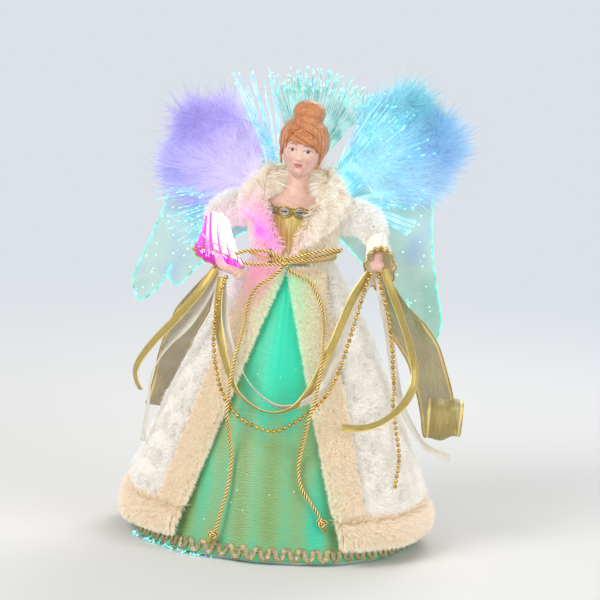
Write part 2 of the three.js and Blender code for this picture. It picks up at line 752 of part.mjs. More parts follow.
const satinTailRightRoute = [
  hung(66, -43, -3.7), hung(69, -42, 9.3), hung(71.5, -36, 23.3), hung(75, -27, 41.3),
  hung(78.5, -20, 61.3), hung(83, -15.5, 82.3), hung(89, -12, 99.3), hung(96, -9, 111.3),
  hung(104, -6, 122.3), hung(113, -3, 127.3), hung(122, 2, 131.3),
];
const goldTailRightRoute = [
  hung(69.5, -44, -7), hung(77, -42, 10.3), hung(83, -35, 26.3), hung(88, -27, 41.3),
  hung(92.5, -21, 57.3), hung(95, -20.5, 69.3), hung(94, -26, 80.3), hung(90, -36, 88.3),
  hung(83, -47.5, 95.3), hung(74, -58, 100.3), hung(64, -67, 102.3), hung(52, -76, 101.3),
];
const organzaLeftRoute = [
  hung(-45, -45.8, 0.5), hung(-57, -34, 21.3), hung(-69, -16, 44.3), hung(-78, 2, 63.3),
  hung(-83, 19, 78.3), hung(-86, 33, 92.3), hung(-89, 39, 105.3), hung(-92, 41, 117.3),
  hung(-94, 42, 122.3),
];
const organzaRightRoute = [
  hung(67.5, -38.5, -3.2), hung(76, -27, 19.3), hung(87, -6, 41.3), hung(97, 8, 59.3),
  hung(103, 15, 77.3), hung(107, 20, 91.3), hung(110, 21, 104.3), hung(113, 12, 115.3),
  hung(116, -1, 116.3), hung(117, -8, 106.3), hung(117, -5, 94.3), hung(116, 4, 90.3),
];
const gathered = (t) => ribbonWidth + (organzaWidth - ribbonWidth) * Math.min(1, t / 0.3);
const makeOrganza = (route, sideOf) => strip(route, sideOf, gathered, 22);

// Wings. Local axes: u outwards from the hinge pin, v backwards, w up

const hinge = (side) => v3(side * hingeX, hingeY, hingeZ);
const filmFront = 0.2;

function wingPoint(side, u, w) {
  const turn = radians(side < 0 ? wingTilt : -wingTilt);
  const x = u * Math.cos(turn) - w * Math.sin(turn);
  const z = u * Math.sin(turn) + w * Math.cos(turn);
  return new THREE.Vector2(side * x, z);
}

// Outer edge from the top of the root round the long lobe and the short lobe to the foot of the root
const longLobe = [
  [28, 38], [58, 44], [77, 24], [82, -6], [86, -30],
  [94, -60], [101, -86], [95, -101], [83, -91], [74, -70],
];
const shortLobe = [[76, -80], [69, -86], [57, -71], [34, -46], [6, -25]];

function wingOutline(side) {
  const places = (list) => list.map(([u, w]) => wingPoint(side, u, w));
  const spline = (from, list) => new THREE.SplineCurve(places([from, ...list]));
  const rootTop = [6, 13];
  return [
    ...spline(rootTop, longLobe).getPoints(26),
    ...spline(longLobe[longLobe.length - 1], shortLobe).getPoints(12).slice(1),
  ];
}

function makeWingFilm(side) {
  const edge = wingOutline(side);
  const tab = [[6, -wingTabHeight + 1], [0, -wingTabHeight + 1], [0, 1], [6, 1]];
  const shape = new THREE.Shape([...edge, ...tab.map(([u, w]) => new THREE.Vector2(side * u, w))]);
  const film = new THREE.ExtrudeGeometry(shape, { depth: filmThickness, bevelEnabled: false });
  film.rotateX(Math.PI / 2).translate(0, filmFront + filmThickness, 0);
  const pinHeight = 2 * knuckleHeight + wingTabHeight + 2;
  const pin = rod(hingePinRadius, pinHeight, 0, 0, 1 - wingTabHeight / 2, 10);
  return join(film, pin).translate(...hinge(side).toArray());
}

// Cloud of marabou over the upper wing: a cushion with a flat back and a lobed rim
function makeFeathers(side) {
  const lobes = 7;
  const rim = 28;
  const rise = side < 0 ? featherRiseLeft : featherRiseRight;
  const rings = [];
  for (const share of [1, 0.97, 0.85, 0.62, 0.3]) {
    const ring = [];
    for (let j = 0; j < rim; j += 1) {
      const turn = (2 * Math.PI * j) / rim;
      const reach = share * (1 - 0.07 * (1 - Math.cos(lobes * turn)));
      const u = featherOut + featherHalfWidth * reach * Math.cos(turn);
      const w = rise + featherHalfHeight * reach * Math.sin(turn);
      const p = wingPoint(side, u, w);
      const depth = share === 1 ? 0 : featherDepth * Math.sqrt(1 - share * share) + 2;
      ring.push(v3(p.x, -filmFront - fiberDiameter - 2 * clearance - depth, p.y));
    }
    rings.push(ring);
  }
  return loft(rings).translate(...hinge(side).toArray());
}

const fanRoot = [7, -19];

function makeWingFibers(side) {
  const depth = -fiberDiameter / 2;
  const place = (u, w) => {
    const p = wingPoint(side, u, w);
    return v3(p.x, depth, p.y);
  };
  const strands = Array.from({ length: wingStrands }, (_, i) => {
    const turn = radians(fanLow + ((fanHigh - fanLow) * i) / (wingStrands - 1));
    const reach = fanReach + fanUneven * Math.sin(i * 2.4);
    const half = reach / 2;
    const bow = turn + 0.12;
    const bend = place(fanRoot[0] + half * Math.cos(bow), half * Math.sin(bow) - 4);
    const tip = place(fanRoot[0] + reach * Math.cos(turn), reach * Math.sin(turn) + 6);
    return bar([place(...fanRoot), bend, tip], fiberDiameter / 2, 3, 2);
  });
  const root = place(...fanRoot);
  const ferrule = block(3, fiberDiameter + clearance, 4, root.x, root.y - clearance / 2, root.z);
  return join(ferrule, ...strands).translate(...hinge(side).toArray());
}

// Bracket behind the shoulders: plate, post to the torso and four hinge knuckles
const plateY = hingeY - knuckleRadius - bracketThickness - 2;

function makeWingBracket() {
  const plateWidth = 2 * hingeX + 2;
  const plateCentre = plateY + bracketThickness / 2;
  const plate = block(plateWidth, bracketThickness, plateHeight, 0, plateCentre, plateMiddle);
  const postFront = trunkSlotFront + clearance;
  const postDepth = plateY - postFront + 1;
  const postMiddle = slotTop - clearance - postHeight / 2;
  const post = block(postWidth, postDepth, postHeight, 0, postFront + postDepth / 2, postMiddle);
  const pieces = [plate, post];
  for (const side of [-1, 1]) {
    for (const step of [-1, 1]) {
      const z = plateMiddle + (step * (wingTabHeight + knuckleHeight)) / 2 + step * clearance;
      const webDepth = hingeY - plateY - bracketThickness;
      const webY = hingeY - webDepth / 2 - 0.5;
      const web = block(webWidth, webDepth + 1, knuckleHeight, side * hingeX, webY, z);
      pieces.push(rod(knuckleRadius, knuckleHeight, side * hingeX, hingeY, z, 12), web);
    }
  }
  const bores = [-1, 1].map((side) =>
    rod(hingePinRadius + clearance, 3 * plateHeight, side * hingeX, hingeY, plateMiddle, 12));
  return cut(join(...pieces), ...bores);
}

// Light: housing, board with four diodes, trunks and fans of fibre

const housingRadius = (z) => coneRadius(z) - coneWall - clearance;
const hollowRadius = (z) => housingRadius(z) - housingWall;
const housingBottom = coneHeight - housingDrop;
const ledPlaces = [[-ledSpacing, 4], [ledSpacing, 4], [0, ledSpacing + 2], [0, -ledSpacing]];
const boardBottom = housingBottom + 2;
const ledTop = boardBottom + boardThickness + ledHeight;

function makeLedHousing() {
  const top = housingBottom + housingHeight;
  const mid = Math.ceil(housingBottom / coneStep) * coneStep;
  const heights = [housingBottom, Math.min(mid, top - 1), top];
  const disc = (z, radius) => level(0, 0, z, radius, radius, coneSides);
  const body = loft(heights.map((z) => disc(z, housingRadius(z))));
  const hollowTop = top - housingTop;
  const hollowHeights = [housingBottom - 1, housingBottom, Math.min(mid, hollowTop - 1), hollowTop];
  const hollow = loft(hollowHeights.map((z) => disc(z, hollowRadius(z))));
  const holes = ledPlaces.map(([x, y]) => rod(trunkRadius + clearance, housingHeight, x, y, top, 8));
  return cut(body, hollow, ...holes);
}

function makeLedBoard() {
  const radius = hollowRadius(boardBottom + boardThickness) - clearance;
  const board = rod(radius, boardThickness, 0, 0, boardBottom + boardThickness / 2, coneSides);
  const chipMiddle = boardBottom + boardThickness + chipHeight / 2 - 0.2;
  const chip = block(chipLength, chipWidth, chipHeight, 0, 0, chipMiddle);
  const ledMiddle = boardBottom + boardThickness + ledHeight / 2;
  const leds = ledPlaces.map(([x, y]) => rod(ledRadius, ledHeight, x, y, ledMiddle, 8));
  return join(board, chip, ...leds);
}

const trunkStart = ledTop + clearance;

function makeWingTrunk(side) {
  const end = wingPoint(side, ...fanRoot).add(new THREE.Vector2(side * hingeX, hingeZ));
  const route = [
    v3(side * ledSpacing, 4, trunkStart), v3(side * ledSpacing, 4.5, trunkStart + 14),
    v3(side * 6, 9, waist - 6), v3(side * 6, 12, waist + 8), v3(side * 7.5, 18, slotTop - 16),
    v3(side * 10.5, 27, slotTop - 12), v3(end.x, hingeY - 3.2, end.y - 5),
  ];
  return bar(route, trunkRadius * 0.9, 6, 12);
}

function makeHaloFibers() {
  const back = plateY + bracketThickness + clearance + trunkRadius;
  const top = hingeZ + knuckleHeight + 2;
  const low = slotTop - 12;
  const route = [
    v3(0, ledSpacing + 2, trunkStart), v3(0, ledSpacing + 2, waist - 8), v3(0, 13, waist + 6),
    v3(0, 20, low - 4), v3(0, back - 2, low - 1), v3(0, back, low + 6), v3(0, back, top),
  ];
  const strands = Array.from({ length: haloStrands }, (_, i) => {
    const turn = radians(haloLow + ((haloHigh - haloLow) * i) / (haloStrands - 1));
    const reach = haloReach + haloUneven * Math.sin(i * 1.9);
    const tip = v3(reach * Math.sin(turn), back - 4, top + reach * Math.cos(turn) - 3);
    return bar([v3(0, back, top - 3), tip], fiberDiameter / 2, 3, 2);
  });
  return join(bar(route, trunkRadius * 0.9, 6, 12), ...strands);
}

function makeSkirtFibers() {
  const windowZ = coneHeight - spigotDepth - 3 * trunkRadius;
  const ringHeight = 2 * trunkRadius;
  const ring = panel({
    low: windowZ - ringHeight / 2, high: windowZ + ringHeight / 2, columns: coneSides, ...fullTurn,
    inner: round((z) => coneRadius(z) + clearance),
    outer: (angle, z) => coneRadius(z) + fiberGap - clearance,
  });
  const ride = clearance + fiberDiameter / 2 + 0.2;
  const strands = Array.from({ length: skirtStrands }, (_, i) => {
    const angle = (2 * Math.PI * (i + 0.5)) / skirtStrands;
    const heights = levelsBetween(dressHem - 1.5, windowZ);
    const out = polar(fiberDiameter / 2, angle, 0);
    const along = polar(fiberDiameter / 2, angle + Math.PI / 2, 0);
    const rings = heights.map((z) => ellipse(polar(coneRadius(z) + ride, angle, z), out, along, 3));
    return loft(rings);
  });
  const reach = coneRadius(windowZ) + fiberGap / 2;
  const trunk = bar([
    v3(0, -ledSpacing, trunkStart), v3(0, -ledSpacing, housingBottom + housingHeight + 2),
    v3(0, -ledSpacing - 4, windowZ - 3), v3(0, -reach + 6, windowZ), v3(0, -reach, windowZ),
  ], trunkRadius * 0.8, 6, 12);
  return join(ring, trunk, ...strands);
}

function makeSleeveFibers() {
  const root = arm(-56, -33, 13.7);
  const lead = bar([arm(-59.2, -16.4, 23.2), arm(-57.6, -26.5, 17.3), root], 1, 6, 3);
  const strands = [-2, -1, 0, 1, 2].map((i) =>
    bar([root, arm(-54.5 + i, -40, 9.7), arm(-54 + 2 * i, -46, 6.7)], fiberDiameter / 2, 3, 2));
  return join(lead, ...strands);
}

function makePowerLead(box) {
  const wallY = (z) => (coneRadius(z) - coneWall) * Math.cos(Math.PI / coneSides) - clearance - leadRadius;
  const besideWall = (share, off) => {
    const z = box.topCentre.z + share * (boardBottom - box.topCentre.z);
    return v3(0, wallY(z) - off, z);
  };
  const route = [
    box.topCentre, besideWall(0.23, 3), besideWall(0.45, 0), besideWall(0.66, 0),
    besideWall(0.83, 6), v3(0, 20, boardBottom - 5), v3(0, 12, boardBottom - leadRadius),
  ];
  return bar(route, leadRadius, 6, 11);
}

// Battery box: lies on the inside of the cone's back wall, open towards the axis

const boxInnerWidth = 3 * cellPitch;
const boxWidth = boxInnerWidth + 2 * boxWall;
const boxInnerDepth = 2 * cellRadius + 2 * clearance;
const boxDepth = boxInnerDepth + boxWall;
const bayLength = cellLength + cellNub + 2 * (stripThickness + stripBump + clearance);
const boxHeight = bayLength + switchBay + 3 * boxWall;
const bayLow = switchBay + 2 * boxWall;
const coverFront = boxDepth + clearance;
const switchX = 12;

function boxSeat() {
  const facet = Math.cos(Math.PI / coneSides);
  const reach = (z) => (coneRadius(z) - coneWall) * facet;
  const wallY = (z) => Math.sqrt(reach(z) ** 2 - (boxWidth / 2) ** 2) - clearance;
  const tilt = Math.atan2(wallY(boxBottom) - wallY(boxBottom + boxHeight), boxHeight);
  const group = new THREE.Group();
  group.position.set(0, wallY(boxBottom) - 1, boxBottom);
  group.rotation.x = tilt;
  group.updateMatrixWorld();
  const topCentre = v3(0, -boxDepth / 2, boxHeight + 3 * clearance).applyMatrix4(group.matrixWorld);
  return { group, topCentre };
}

function makeBatteryBox() {
  const shell = block(boxWidth, boxDepth, boxHeight, 0, -boxDepth / 2, boxHeight / 2);
  const openDepth = boxInnerDepth + 1;
  const openY = -boxWall - openDepth / 2;
  const bay = block(boxInnerWidth, openDepth, bayLength, 0, openY, bayLow + bayLength / 2);
  const switchRoom = block(boxInnerWidth, openDepth, switchBay, 0, openY, boxWall + switchBay / 2);
  const slotWidth = knobWidth + switchTravel + 2 * clearance;
  const slotDepth = knobDepth + 2 * clearance;
  const slot = block(slotWidth, slotDepth, 3 * boxWall, switchX, -boxDepth / 2, boxWall / 2);
  const railDepth = coverThickness + 2 * clearance + railLip;
  const pieces = [];
  for (const side of [-1, 1]) {
    const x = side * (boxWidth / 2 - boxWall / 2);
    const railY = -boxDepth - railDepth / 2 + 0.5;
    pieces.push(block(boxWall, railDepth + 1, boxHeight, x, railY, boxHeight / 2));
    const lipX = side * (boxWidth / 2 - boxWall - railLip / 2);
    const lipY = -boxDepth - railDepth + railLip / 2;
    pieces.push(block(railLip + 1, railLip, boxHeight, lipX, lipY, boxHeight / 2));
  }
  return cut(join(shell, ...pieces), bay, switchRoom, slot);
}

function makeBatteryCover() {
  const width = boxInnerWidth - 2 * clearance;
  const middle = -coverFront - coverThickness / 2;
  const plate = block(width, coverThickness, boxHeight - 2, 0, middle, boxHeight / 2 + 1);
  const ridge = (i) => block(gripWidth, 1, 1, 0, -coverFront - coverThickness, 8 + gripPitch * i);
  const grips = [0, 1, 2, 3].map(ridge);
  const hole = rod(screwRadius + clearance, 20, 0, 0, 0, 12).rotateX(Math.PI / 2);
  hole.translate(0, -coverFront, boxHeight - 5);
  return cut(join(plate, ...grips), hole);
}

function makeCoverScrew() {
  const shank = rod(screwRadius, coverThickness + 2 * clearance, 0, 0, 0, 12);
  const headMiddle = coverThickness / 2 + clearance + screwHeadHeight / 2;
  const head = rod(screwHeadRadius, screwHeadHeight, 0, 0, headMiddle, 16);
  const slot = block(2 * screwHeadRadius - 0.8, 0.7, 0.7, 0, 0, headMiddle + screwHeadHeight / 2);
  const screw = cut(join(shank, head), slot).rotateX(Math.PI / 2);
  return screw.translate(0, -coverFront - coverThickness / 2, boxHeight - 5);
}

function makeCell(index) {
  const up = index % 2 ? -1 : 1;
  const profile = [[0, 0], [cellRadius, 0], [cellRadius, cellLength], [2.7, cellLength]];
  profile.push([2.7, cellLength + cellNub], [0, cellLength + cellNub]);
  const outline = profile.map(([r, z]) => new THREE.Vector2(r, z));
  const cell = new THREE.LatheGeometry(outline, 12).rotateX(Math.PI / 2);
  const half = (cellLength + cellNub) / 2;
  cell.translate(0, 0, -half);
  if (up < 0) cell.rotateX(Math.PI);
  return cell.translate((index - 1) * cellPitch, -boxWall - boxInnerDepth / 2, bayLow + bayLength / 2);
}

function makeContactStrip(end) {
  const inset = (stripThickness + clearance) / 2;
  const z = end > 0 ? bayLow + bayLength - inset : bayLow + inset;
  const y = -boxWall - boxInnerDepth / 2;
  const plate = block(boxInnerWidth - 2, stripWidth, stripThickness, 0, y, z);
  const bumpZ = z - end * ((stripThickness + stripBump) / 2 - 0.1);
  const bumps = [-1, 0, 1].map((i) => rod(stripWidth / 3, stripBump, i * cellPitch, y, bumpZ, 8));
  return join(plate, ...bumps);
}

function makeSwitchKnob() {
  const left = switchX - switchTravel / 2;
  const stem = block(knobWidth, knobDepth, boxWall + 5, left, -boxDepth / 2, boxWall / 2 - 0.5);
  const flange = block(2 * knobWidth, 2 * knobDepth, 1.6, left, -boxDepth / 2, boxWall + clearance + 0.8);
  return join(stem, flange);
}

// Assembly

const angel = new THREE.Group();

function finish(colour, roughness, metalness = 0) {
  return new THREE.MeshStandardMaterial({ color: colour, roughness, metalness });
}

function add(name, geometry, material, group = angel) {
  const mesh = new THREE.Mesh(geometry, material);
  mesh.name = name;
  group.add(mesh);
}

add('base_ring', makeHoop(), finish(0xe6e2d8, 0.6));
add('support_cone', makeCone(), finish(0xe9e6dd, 0.7));
add('dress_skirt', makeDress(), finish(0x33c4a0, 0.45));
add('hem_braid', makeHemBraid(), finish(0xb8a05a, 0.4, 0.6));
add('coat_panel_back', makeCoatBack(), finish(0xd8d2c8, 0.95));
add('hem_trim', makeHemTrim(), finish(0xcdb497, 0.95));

const box = boxSeat();
angel.add(box.group);
add('battery_box', makeBatteryBox(), finish(0xf0efe9, 0.5), box.group);
add('battery_cover', makeBatteryCover(), finish(0xf0efe9, 0.5), box.group);
add('battery_cover_screw', makeCoverScrew(), finish(0x8c8f92, 0.35, 1), box.group);
[1, 2, 3].forEach((n) => add(`battery_${n}`, makeCell(n - 1), finish(0x4a4d50, 0.4, 0.3), box.group));
add('contact_strip_top', makeContactStrip(1), finish(0xc9c9c4, 0.3, 1), box.group);
add('contact_strip_bottom', makeContactStrip(-1), finish(0xc9c9c4, 0.3, 1), box.group);
add('switch_knob', makeSwitchKnob(), finish(0x2b2b2b, 0.5), box.group);
add('power_lead', makePowerLead(box), finish(0x222222, 0.6));
add('led_housing', makeLedHousing(), finish(0xf2f2ee, 0.5));
add('led_board', makeLedBoard(), finish(0x2e6b3f, 0.5));
add('halo_fibers', makeHaloFibers(), finish(0xe4f0f4, 0.2));
add('skirt_fibers', makeSkirtFibers(), finish(0xdff4ee, 0.2));
add('sleeve_fibers', makeSleeveFibers(), finish(0xf4dff0, 0.2));
add('wing_bracket', makeWingBracket(), finish(0xf2f2ee, 0.5));

add('torso_form', makeTorso(), finish(0xe9e6dd, 0.7));
add('head_bust', makeHead(), finish(0xd9a48c, 0.45));
add('hair', makeHair(), finish(0x96643f, 0.6));
add('bodice', makeBodice(), finish(0xc9a94e, 0.35, 0.5));
add('neckline_braid', makeNecklineBraid(), finish(0xbfae7a, 0.35, 0.6));
add('coat_bodice', makeCoatBodice(), finish(0xd8d2c8, 0.95));
add('collar', makeCollar(), finish(0xdccfb8, 0.95));
add('waist_cord', makeWaistCord(), finish(0xb8923c, 0.35, 0.7));

for (const [word, side] of [['left', -1], ['right', 1]]) {
  add(`coat_panel_${word}`, makeCoatPanel(side), finish(0xd8d2c8, 0.95));
  add(`front_trim_${word}`, makeFrontTrim(side), finish(0xcdb497, 0.95));
  add(`wing_film_${word}`, makeWingFilm(side), finish(0xeaf3f2, 0.3));
  add(`wing_feathers_${word}`, makeFeathers(side), finish(0xe8eef6, 0.9));
  add(`wing_fibers_${word}`, makeWingFibers(side), finish(0xdff0ff, 0.2));
  add(`fiber_trunk_${word}`, makeWingTrunk(side), finish(0x2a2a2c, 0.5));
}

const leftCuff = makeCuff(
  arm(-54.4, -17, 24), v3(7.5, -2.7, 0), v3(-1.5, -4.2, 6.6),
  arm(-46, -49, 3.2), v3(15, 1, -4), v3(0, -9.5, 6),
);
const rightCuff = makeCuff(
  arm(60.6, -13.8, 21.9), v3(6.2, 5, 0), v3(3.1, -3.9, 6.3),
  arm(66, -33, 4.7), v3(10.5, 2, 0), v3(0, -3, 14.5),
);
add('sleeve_left', makeSleeve(leftSleeveRoute), finish(0xdfd8cc, 0.95));
add('sleeve_right', makeSleeve(rightSleeveRoute), finish(0xdfd8cc, 0.95));
add('cuff_left', leftCuff, finish(0xf4d7ee, 0.5));
add('cuff_right', rightCuff, finish(0xe9e2cc, 0.5));
add('hand_left', makeHand(leftHandRoute), finish(0xd9a48c, 0.45));
add('hand_right', makeHand(rightHandRoute), finish(0xd9a48c, 0.45));

const goldCord = finish(0xb8923c, 0.35, 0.7);
add('cord_tail_left', makeCordTail(leftTailRoute), goldCord.clone());
add('cord_tail_right', makeCordTail(rightTailRoute), goldCord.clone());
add('bead_garland', makeBeads(garlandRoute), finish(0xc9a347, 0.25, 1));
add('bead_tail', makeBeads(beadTailRoute), finish(0xc9a347, 0.25, 1));

const satin = finish(0xe9e2d2, 0.35);
const goldRibbon = finish(0xb8a052, 0.35, 0.4);
add('satin_swag', makeRibbon(satinSwagRoute), satin.clone());
add('satin_tail_left', makeRibbon(satinTailLeftRoute), satin.clone());
add('satin_tail_right', makeRibbon(satinTailRightRoute), satin.clone());
add('gold_swag', makeRibbon(goldSwagRoute), goldRibbon.clone());
add('gold_tail_left', makeRibbon(goldTailLeftRoute), goldRibbon.clone());
add('gold_tail_right', makeRibbon(goldTailRightRoute), goldRibbon.clone());
add('organza_left', makeOrganza(organzaLeftRoute, across(0.9, 0.2, 0.3)), finish(0x8a7638, 0.4, 0.2));
add('organza_right', makeOrganza(organzaRightRoute, across(0.95, 0.3, 0.1)), finish(0x8a7638, 0.4, 0.2));

export default angel;
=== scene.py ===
# %% [markdown]
# # A lit angel topper
# The solids of this figure come from a imported CAD model, which stays fixed and is called the frame here.
# This script dresses them: plush, lame, ribbon, feather down, twisted cord and glowing optical fibre.
# Lengths are in metres, +Z is up and the face looks along -Y, as in the frame.

# %% The frame
import math
import random

import bmesh
import bpy
from mathutils import Matrix, Vector, noise


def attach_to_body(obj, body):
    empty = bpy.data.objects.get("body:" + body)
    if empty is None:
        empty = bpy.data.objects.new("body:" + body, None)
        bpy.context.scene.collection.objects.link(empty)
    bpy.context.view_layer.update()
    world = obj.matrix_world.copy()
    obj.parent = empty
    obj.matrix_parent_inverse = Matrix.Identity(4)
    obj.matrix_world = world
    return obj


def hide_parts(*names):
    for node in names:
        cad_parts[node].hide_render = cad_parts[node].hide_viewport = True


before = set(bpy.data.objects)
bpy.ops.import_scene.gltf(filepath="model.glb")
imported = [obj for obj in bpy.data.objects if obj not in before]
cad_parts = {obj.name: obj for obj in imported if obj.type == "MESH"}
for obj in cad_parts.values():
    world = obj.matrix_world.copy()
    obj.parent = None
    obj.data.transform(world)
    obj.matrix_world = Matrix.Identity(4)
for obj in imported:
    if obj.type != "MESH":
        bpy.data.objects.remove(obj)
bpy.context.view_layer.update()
MM = 0.001
FIGURE = "figure"
TURN = 2 * math.pi


def link(name, data):
    made = bpy.data.objects.new(name.replace(" ", "_"), data)
    bpy.context.collection.objects.link(made)
    return made


# %% [markdown]
# A long lens stands in front of the figure, a little to its right and a little above the hem.
# The photograph leans by a few degrees, so the camera rolls by as much. Camera and stage come first.

# %% Camera
VIEW_WIDTH = 426 * MM
VIEW_DISTANCE = 2.4
VIEW_AZIMUTH = math.radians(7)
VIEW_RISE = math.radians(9)
VIEW_ROLL = math.radians(4)
LOOK_AT = Vector((7.4, 0.9, 169.9)) * MM

camera = link("camera", bpy.data.cameras.new("camera"))
camera.data.lens = camera.data.sensor_width * VIEW_DISTANCE / VIEW_WIDTH
towards = Vector((
    math.sin(VIEW_AZIMUTH) * math.cos(VIEW_RISE),
    -math.cos(VIEW_AZIMUTH) * math.cos(VIEW_RISE),
    math.sin(VIEW_RISE),
))
stand = Matrix.Translation(LOOK_AT + towards * VIEW_DISTANCE)
level = towards.to_track_quat("Z", "Y").to_matrix().to_4x4()
camera.matrix_world = stand @ level @ Matrix.Rotation(VIEW_ROLL, 4, "Z")
bpy.context.scene.camera = camera
bpy.context.scene.view_settings.view_transform = "Standard"
print("lens", round(camera.data.lens, 1), "mm")


# %% [markdown]
# Every material and every node tree below is put together with a few small functions. The first makes
# a node, sets its options, and fills or links its inputs; the others make the nodes that come up most.
# Colours are written as sRGB hex, the way a paint chart gives them, and turned to linear light once.

# %% Helpers for nodes and colours
def add(tree, kind, links=None, **settings):
    made = tree.nodes.new(kind)
    for name, value in settings.items():
        setattr(made, name, value)
    for key, value in (links or {}).items():
        if isinstance(value, bpy.types.NodeSocket):
            tree.links.new(value, made.inputs[key])
        else:
            made.inputs[key].default_value = value
    return made


def maths(tree, operation, *values):
    return add(tree, "ShaderNodeMath", dict(enumerate(values)), operation=operation).outputs[0]


def vectors(tree, operation, *values, **scale):
    made = add(tree, "ShaderNodeVectorMath", {**dict(enumerate(values)), **scale}, operation=operation)
    return made.outputs["Value" if operation in ("LENGTH", "DISTANCE") else "Vector"]


def blend(tree, share, first, second, **settings):
    links = {0: share, 6: first, 7: second}
    return add(tree, "ShaderNodeMix", links, data_type="RGBA", **settings).outputs[2]


def spot(tree):
    return add(tree, "ShaderNodeTexCoord").outputs["Object"]


def mark(tree, name, output="Fac"):
    return add(tree, "ShaderNodeAttribute", attribute_name=name).outputs[output]


def grain(tree, where, size, detail):
    """Noise with features of about the given size."""
    links = {"Vector": where, "Scale": 1 / size, "Detail": detail}
    return add(tree, "ShaderNodeTexNoise", links).outputs["Fac"]


def cells(tree, where, size):
    """Scattered cells of about the given size."""
    return add(tree, "ShaderNodeTexVoronoi", {"Vector": where, "Scale": 1 / size}).outputs


def paint(code):
    channels = [int(code[i:i + 2], 16) / 255 for i in (1, 3, 5)]
    return tuple(c / 12.92 if c <= 0.04045 else ((c + 0.055) / 1.055) ** 2.4 for c in channels) + (1.0,)


def ramp(tree, factor, *stops):
    made = add(tree, "ShaderNodeValToRGB", {"Fac": factor})
    bands = made.color_ramp.elements
    while len(bands) < len(stops):
        bands.new(0.5)
    for band, (place, colour) in zip(bands, stops):
        band.position = place
        band.color = paint(colour)
    return made.outputs["Color"]


def surface(name, **values):
    material = bpy.data.materials.new(name)
    material.use_nodes = True
    shader = material.node_tree.nodes["Principled BSDF"]
    for label, value in values.items():
        shader.inputs[label.replace("_", " ")].default_value = value
    return material, material.node_tree, shader


def wire(shader, **sockets):
    for label, socket in sockets.items():
        shader.id_data.links.new(socket, shader.inputs[label.replace("_", " ")])


def relief(shader, height, depth, strength):
    bump = add(shader.id_data, "ShaderNodeBump", {"Height": height, "Distance": depth, "Strength": strength})
    wire(shader, Normal=bump.outputs[0])


def grained(name, size, detail, *stops, bump=None, lit=False, **values):
    """A finish whose tone follows one noise, and its relief and its light too where they are asked for."""
    material, tree, shader = surface(name, **values)
    fine = grain(tree, spot(tree), size, detail)
    tone = ramp(tree, fine, *stops)
    wire(shader, Base_Color=tone)
    if lit:
        wire(shader, Emission_Color=tone)
    if bump:
        relief(shader, fine, *bump)
    return material


# %% Floor, background and lamps
BACKDROP = "#dde2e8"
FLOOR_HALF = 6.0
FLOOR_DROP = 0.4 * MM


def stage_material():
    """Matt paper near the figure that fades into the tone of the background further out."""
    material, tree, shader = surface(
        "matt paper", Roughness=1.0, Specular_IOR_Level=0.0, Emission_Color=paint(BACKDROP),
    )
    far = vectors(tree, "LENGTH", spot(tree))
    span = {0: far, 1: 0.25, 2: 1.3}
    fade = add(tree, "ShaderNodeMapRange", span, interpolation_type="SMOOTHSTEP").outputs[0]
    wire(shader, Base_Color=ramp(tree, fade, (0.0, "#e9e8e5"), (1.0, "#000000")), Emission_Strength=fade)
    return material


paper = bpy.data.meshes.new("paper")
corners = [(FLOOR_HALF * x, FLOOR_HALF * y, 0) for x, y in ((-1, -1), (1, -1), (1, 1), (-1, 1))]
paper.from_pydata(corners, [], [(0, 1, 2, 3)])
floor = link("floor", paper)
floor.location.z = -FLOOR_DROP
floor.data.materials.append(stage_material())

world = bpy.data.worlds.new("studio")
bpy.context.scene.world = world
world.use_nodes = True
sky = world.node_tree
sky.nodes.clear()
rays = add(sky, "ShaderNodeLightPath").outputs
seen = maths(sky, "MAXIMUM", rays["Is Camera Ray"], rays["Is Glossy Ray"])
seen = maths(sky, "MAXIMUM", seen, rays["Is Transmission Ray"])
soft = add(sky, "ShaderNodeBackground", {"Color": paint("#f4f6fa"), "Strength": 0.42})
plain = add(sky, "ShaderNodeBackground", {"Color": paint(BACKDROP), "Strength": 1.0})
pick = add(sky, "ShaderNodeMixShader", {0: seen, 1: soft.outputs[0], 2: plain.outputs[0]})
add(sky, "ShaderNodeOutputWorld", {"Surface": pick.outputs[0]})

LAMPS = (
    ("key", (-0.9, -1.3, 1.3), 0.9, 22),
    ("fill", (1.3, -0.9, 0.7), 1.1, 10),
    ("back", (0.3, 1.3, 1.2), 0.8, 13),
)
LAMP_AIM = Vector((0, 0, 0.16))
for name, place, size, power in LAMPS:
    lamp = link(name, bpy.data.lights.new(name, "AREA"))
    lamp.data.size = size
    lamp.data.energy = power
    lamp.location = place
    lamp.rotation_euler = (Vector(place) - LAMP_AIM).to_track_quat("Z", "Y").to_euler()
print("stage ready")


# %% [markdown]
# Soft pieces start from the solids of the frame. A copied solid arrives as loose triangles, so its
# doubles are merged first. Thick plush is remeshed and smoothed into a rounded cushion form, and
# thin cloth is built from its own rule. A helper also turns the result of a node tree into a plain mesh.

# %% Helpers for meshes
FIELDS = {"FLOAT": "value", "FLOAT_VECTOR": "vector", "FLOAT_COLOR": "color"}


def new_piece(name, verts, faces, edges=()):
    mesh = bpy.data.meshes.new(name)
    mesh.from_pydata([tuple(v) for v in verts], list(edges), list(faces))
    mesh.validate()
    mesh.update()
    return link(name, mesh)


def tube_faces(rows, wrap, start=0):
    """Quads between rows of points that each go once round."""
    return [
        tuple(start + r * wrap + c % wrap for r, c in ((i, j), (i, j + 1), (i + 1, j + 1), (i + 1, j)))
        for i in range(rows) for j in range(wrap)
    ]


def attach(piece, name, kind, values, domain="POINT"):
    """Writes values on a mesh as an attribute, for materials and trees to read."""
    piece.data.attributes.new(name, kind, domain).data.foreach_set(FIELDS[kind], values)


def smooth(piece):
    piece.data.polygons.foreach_set("use_smooth", [True] * len(piece.data.polygons))
    return piece


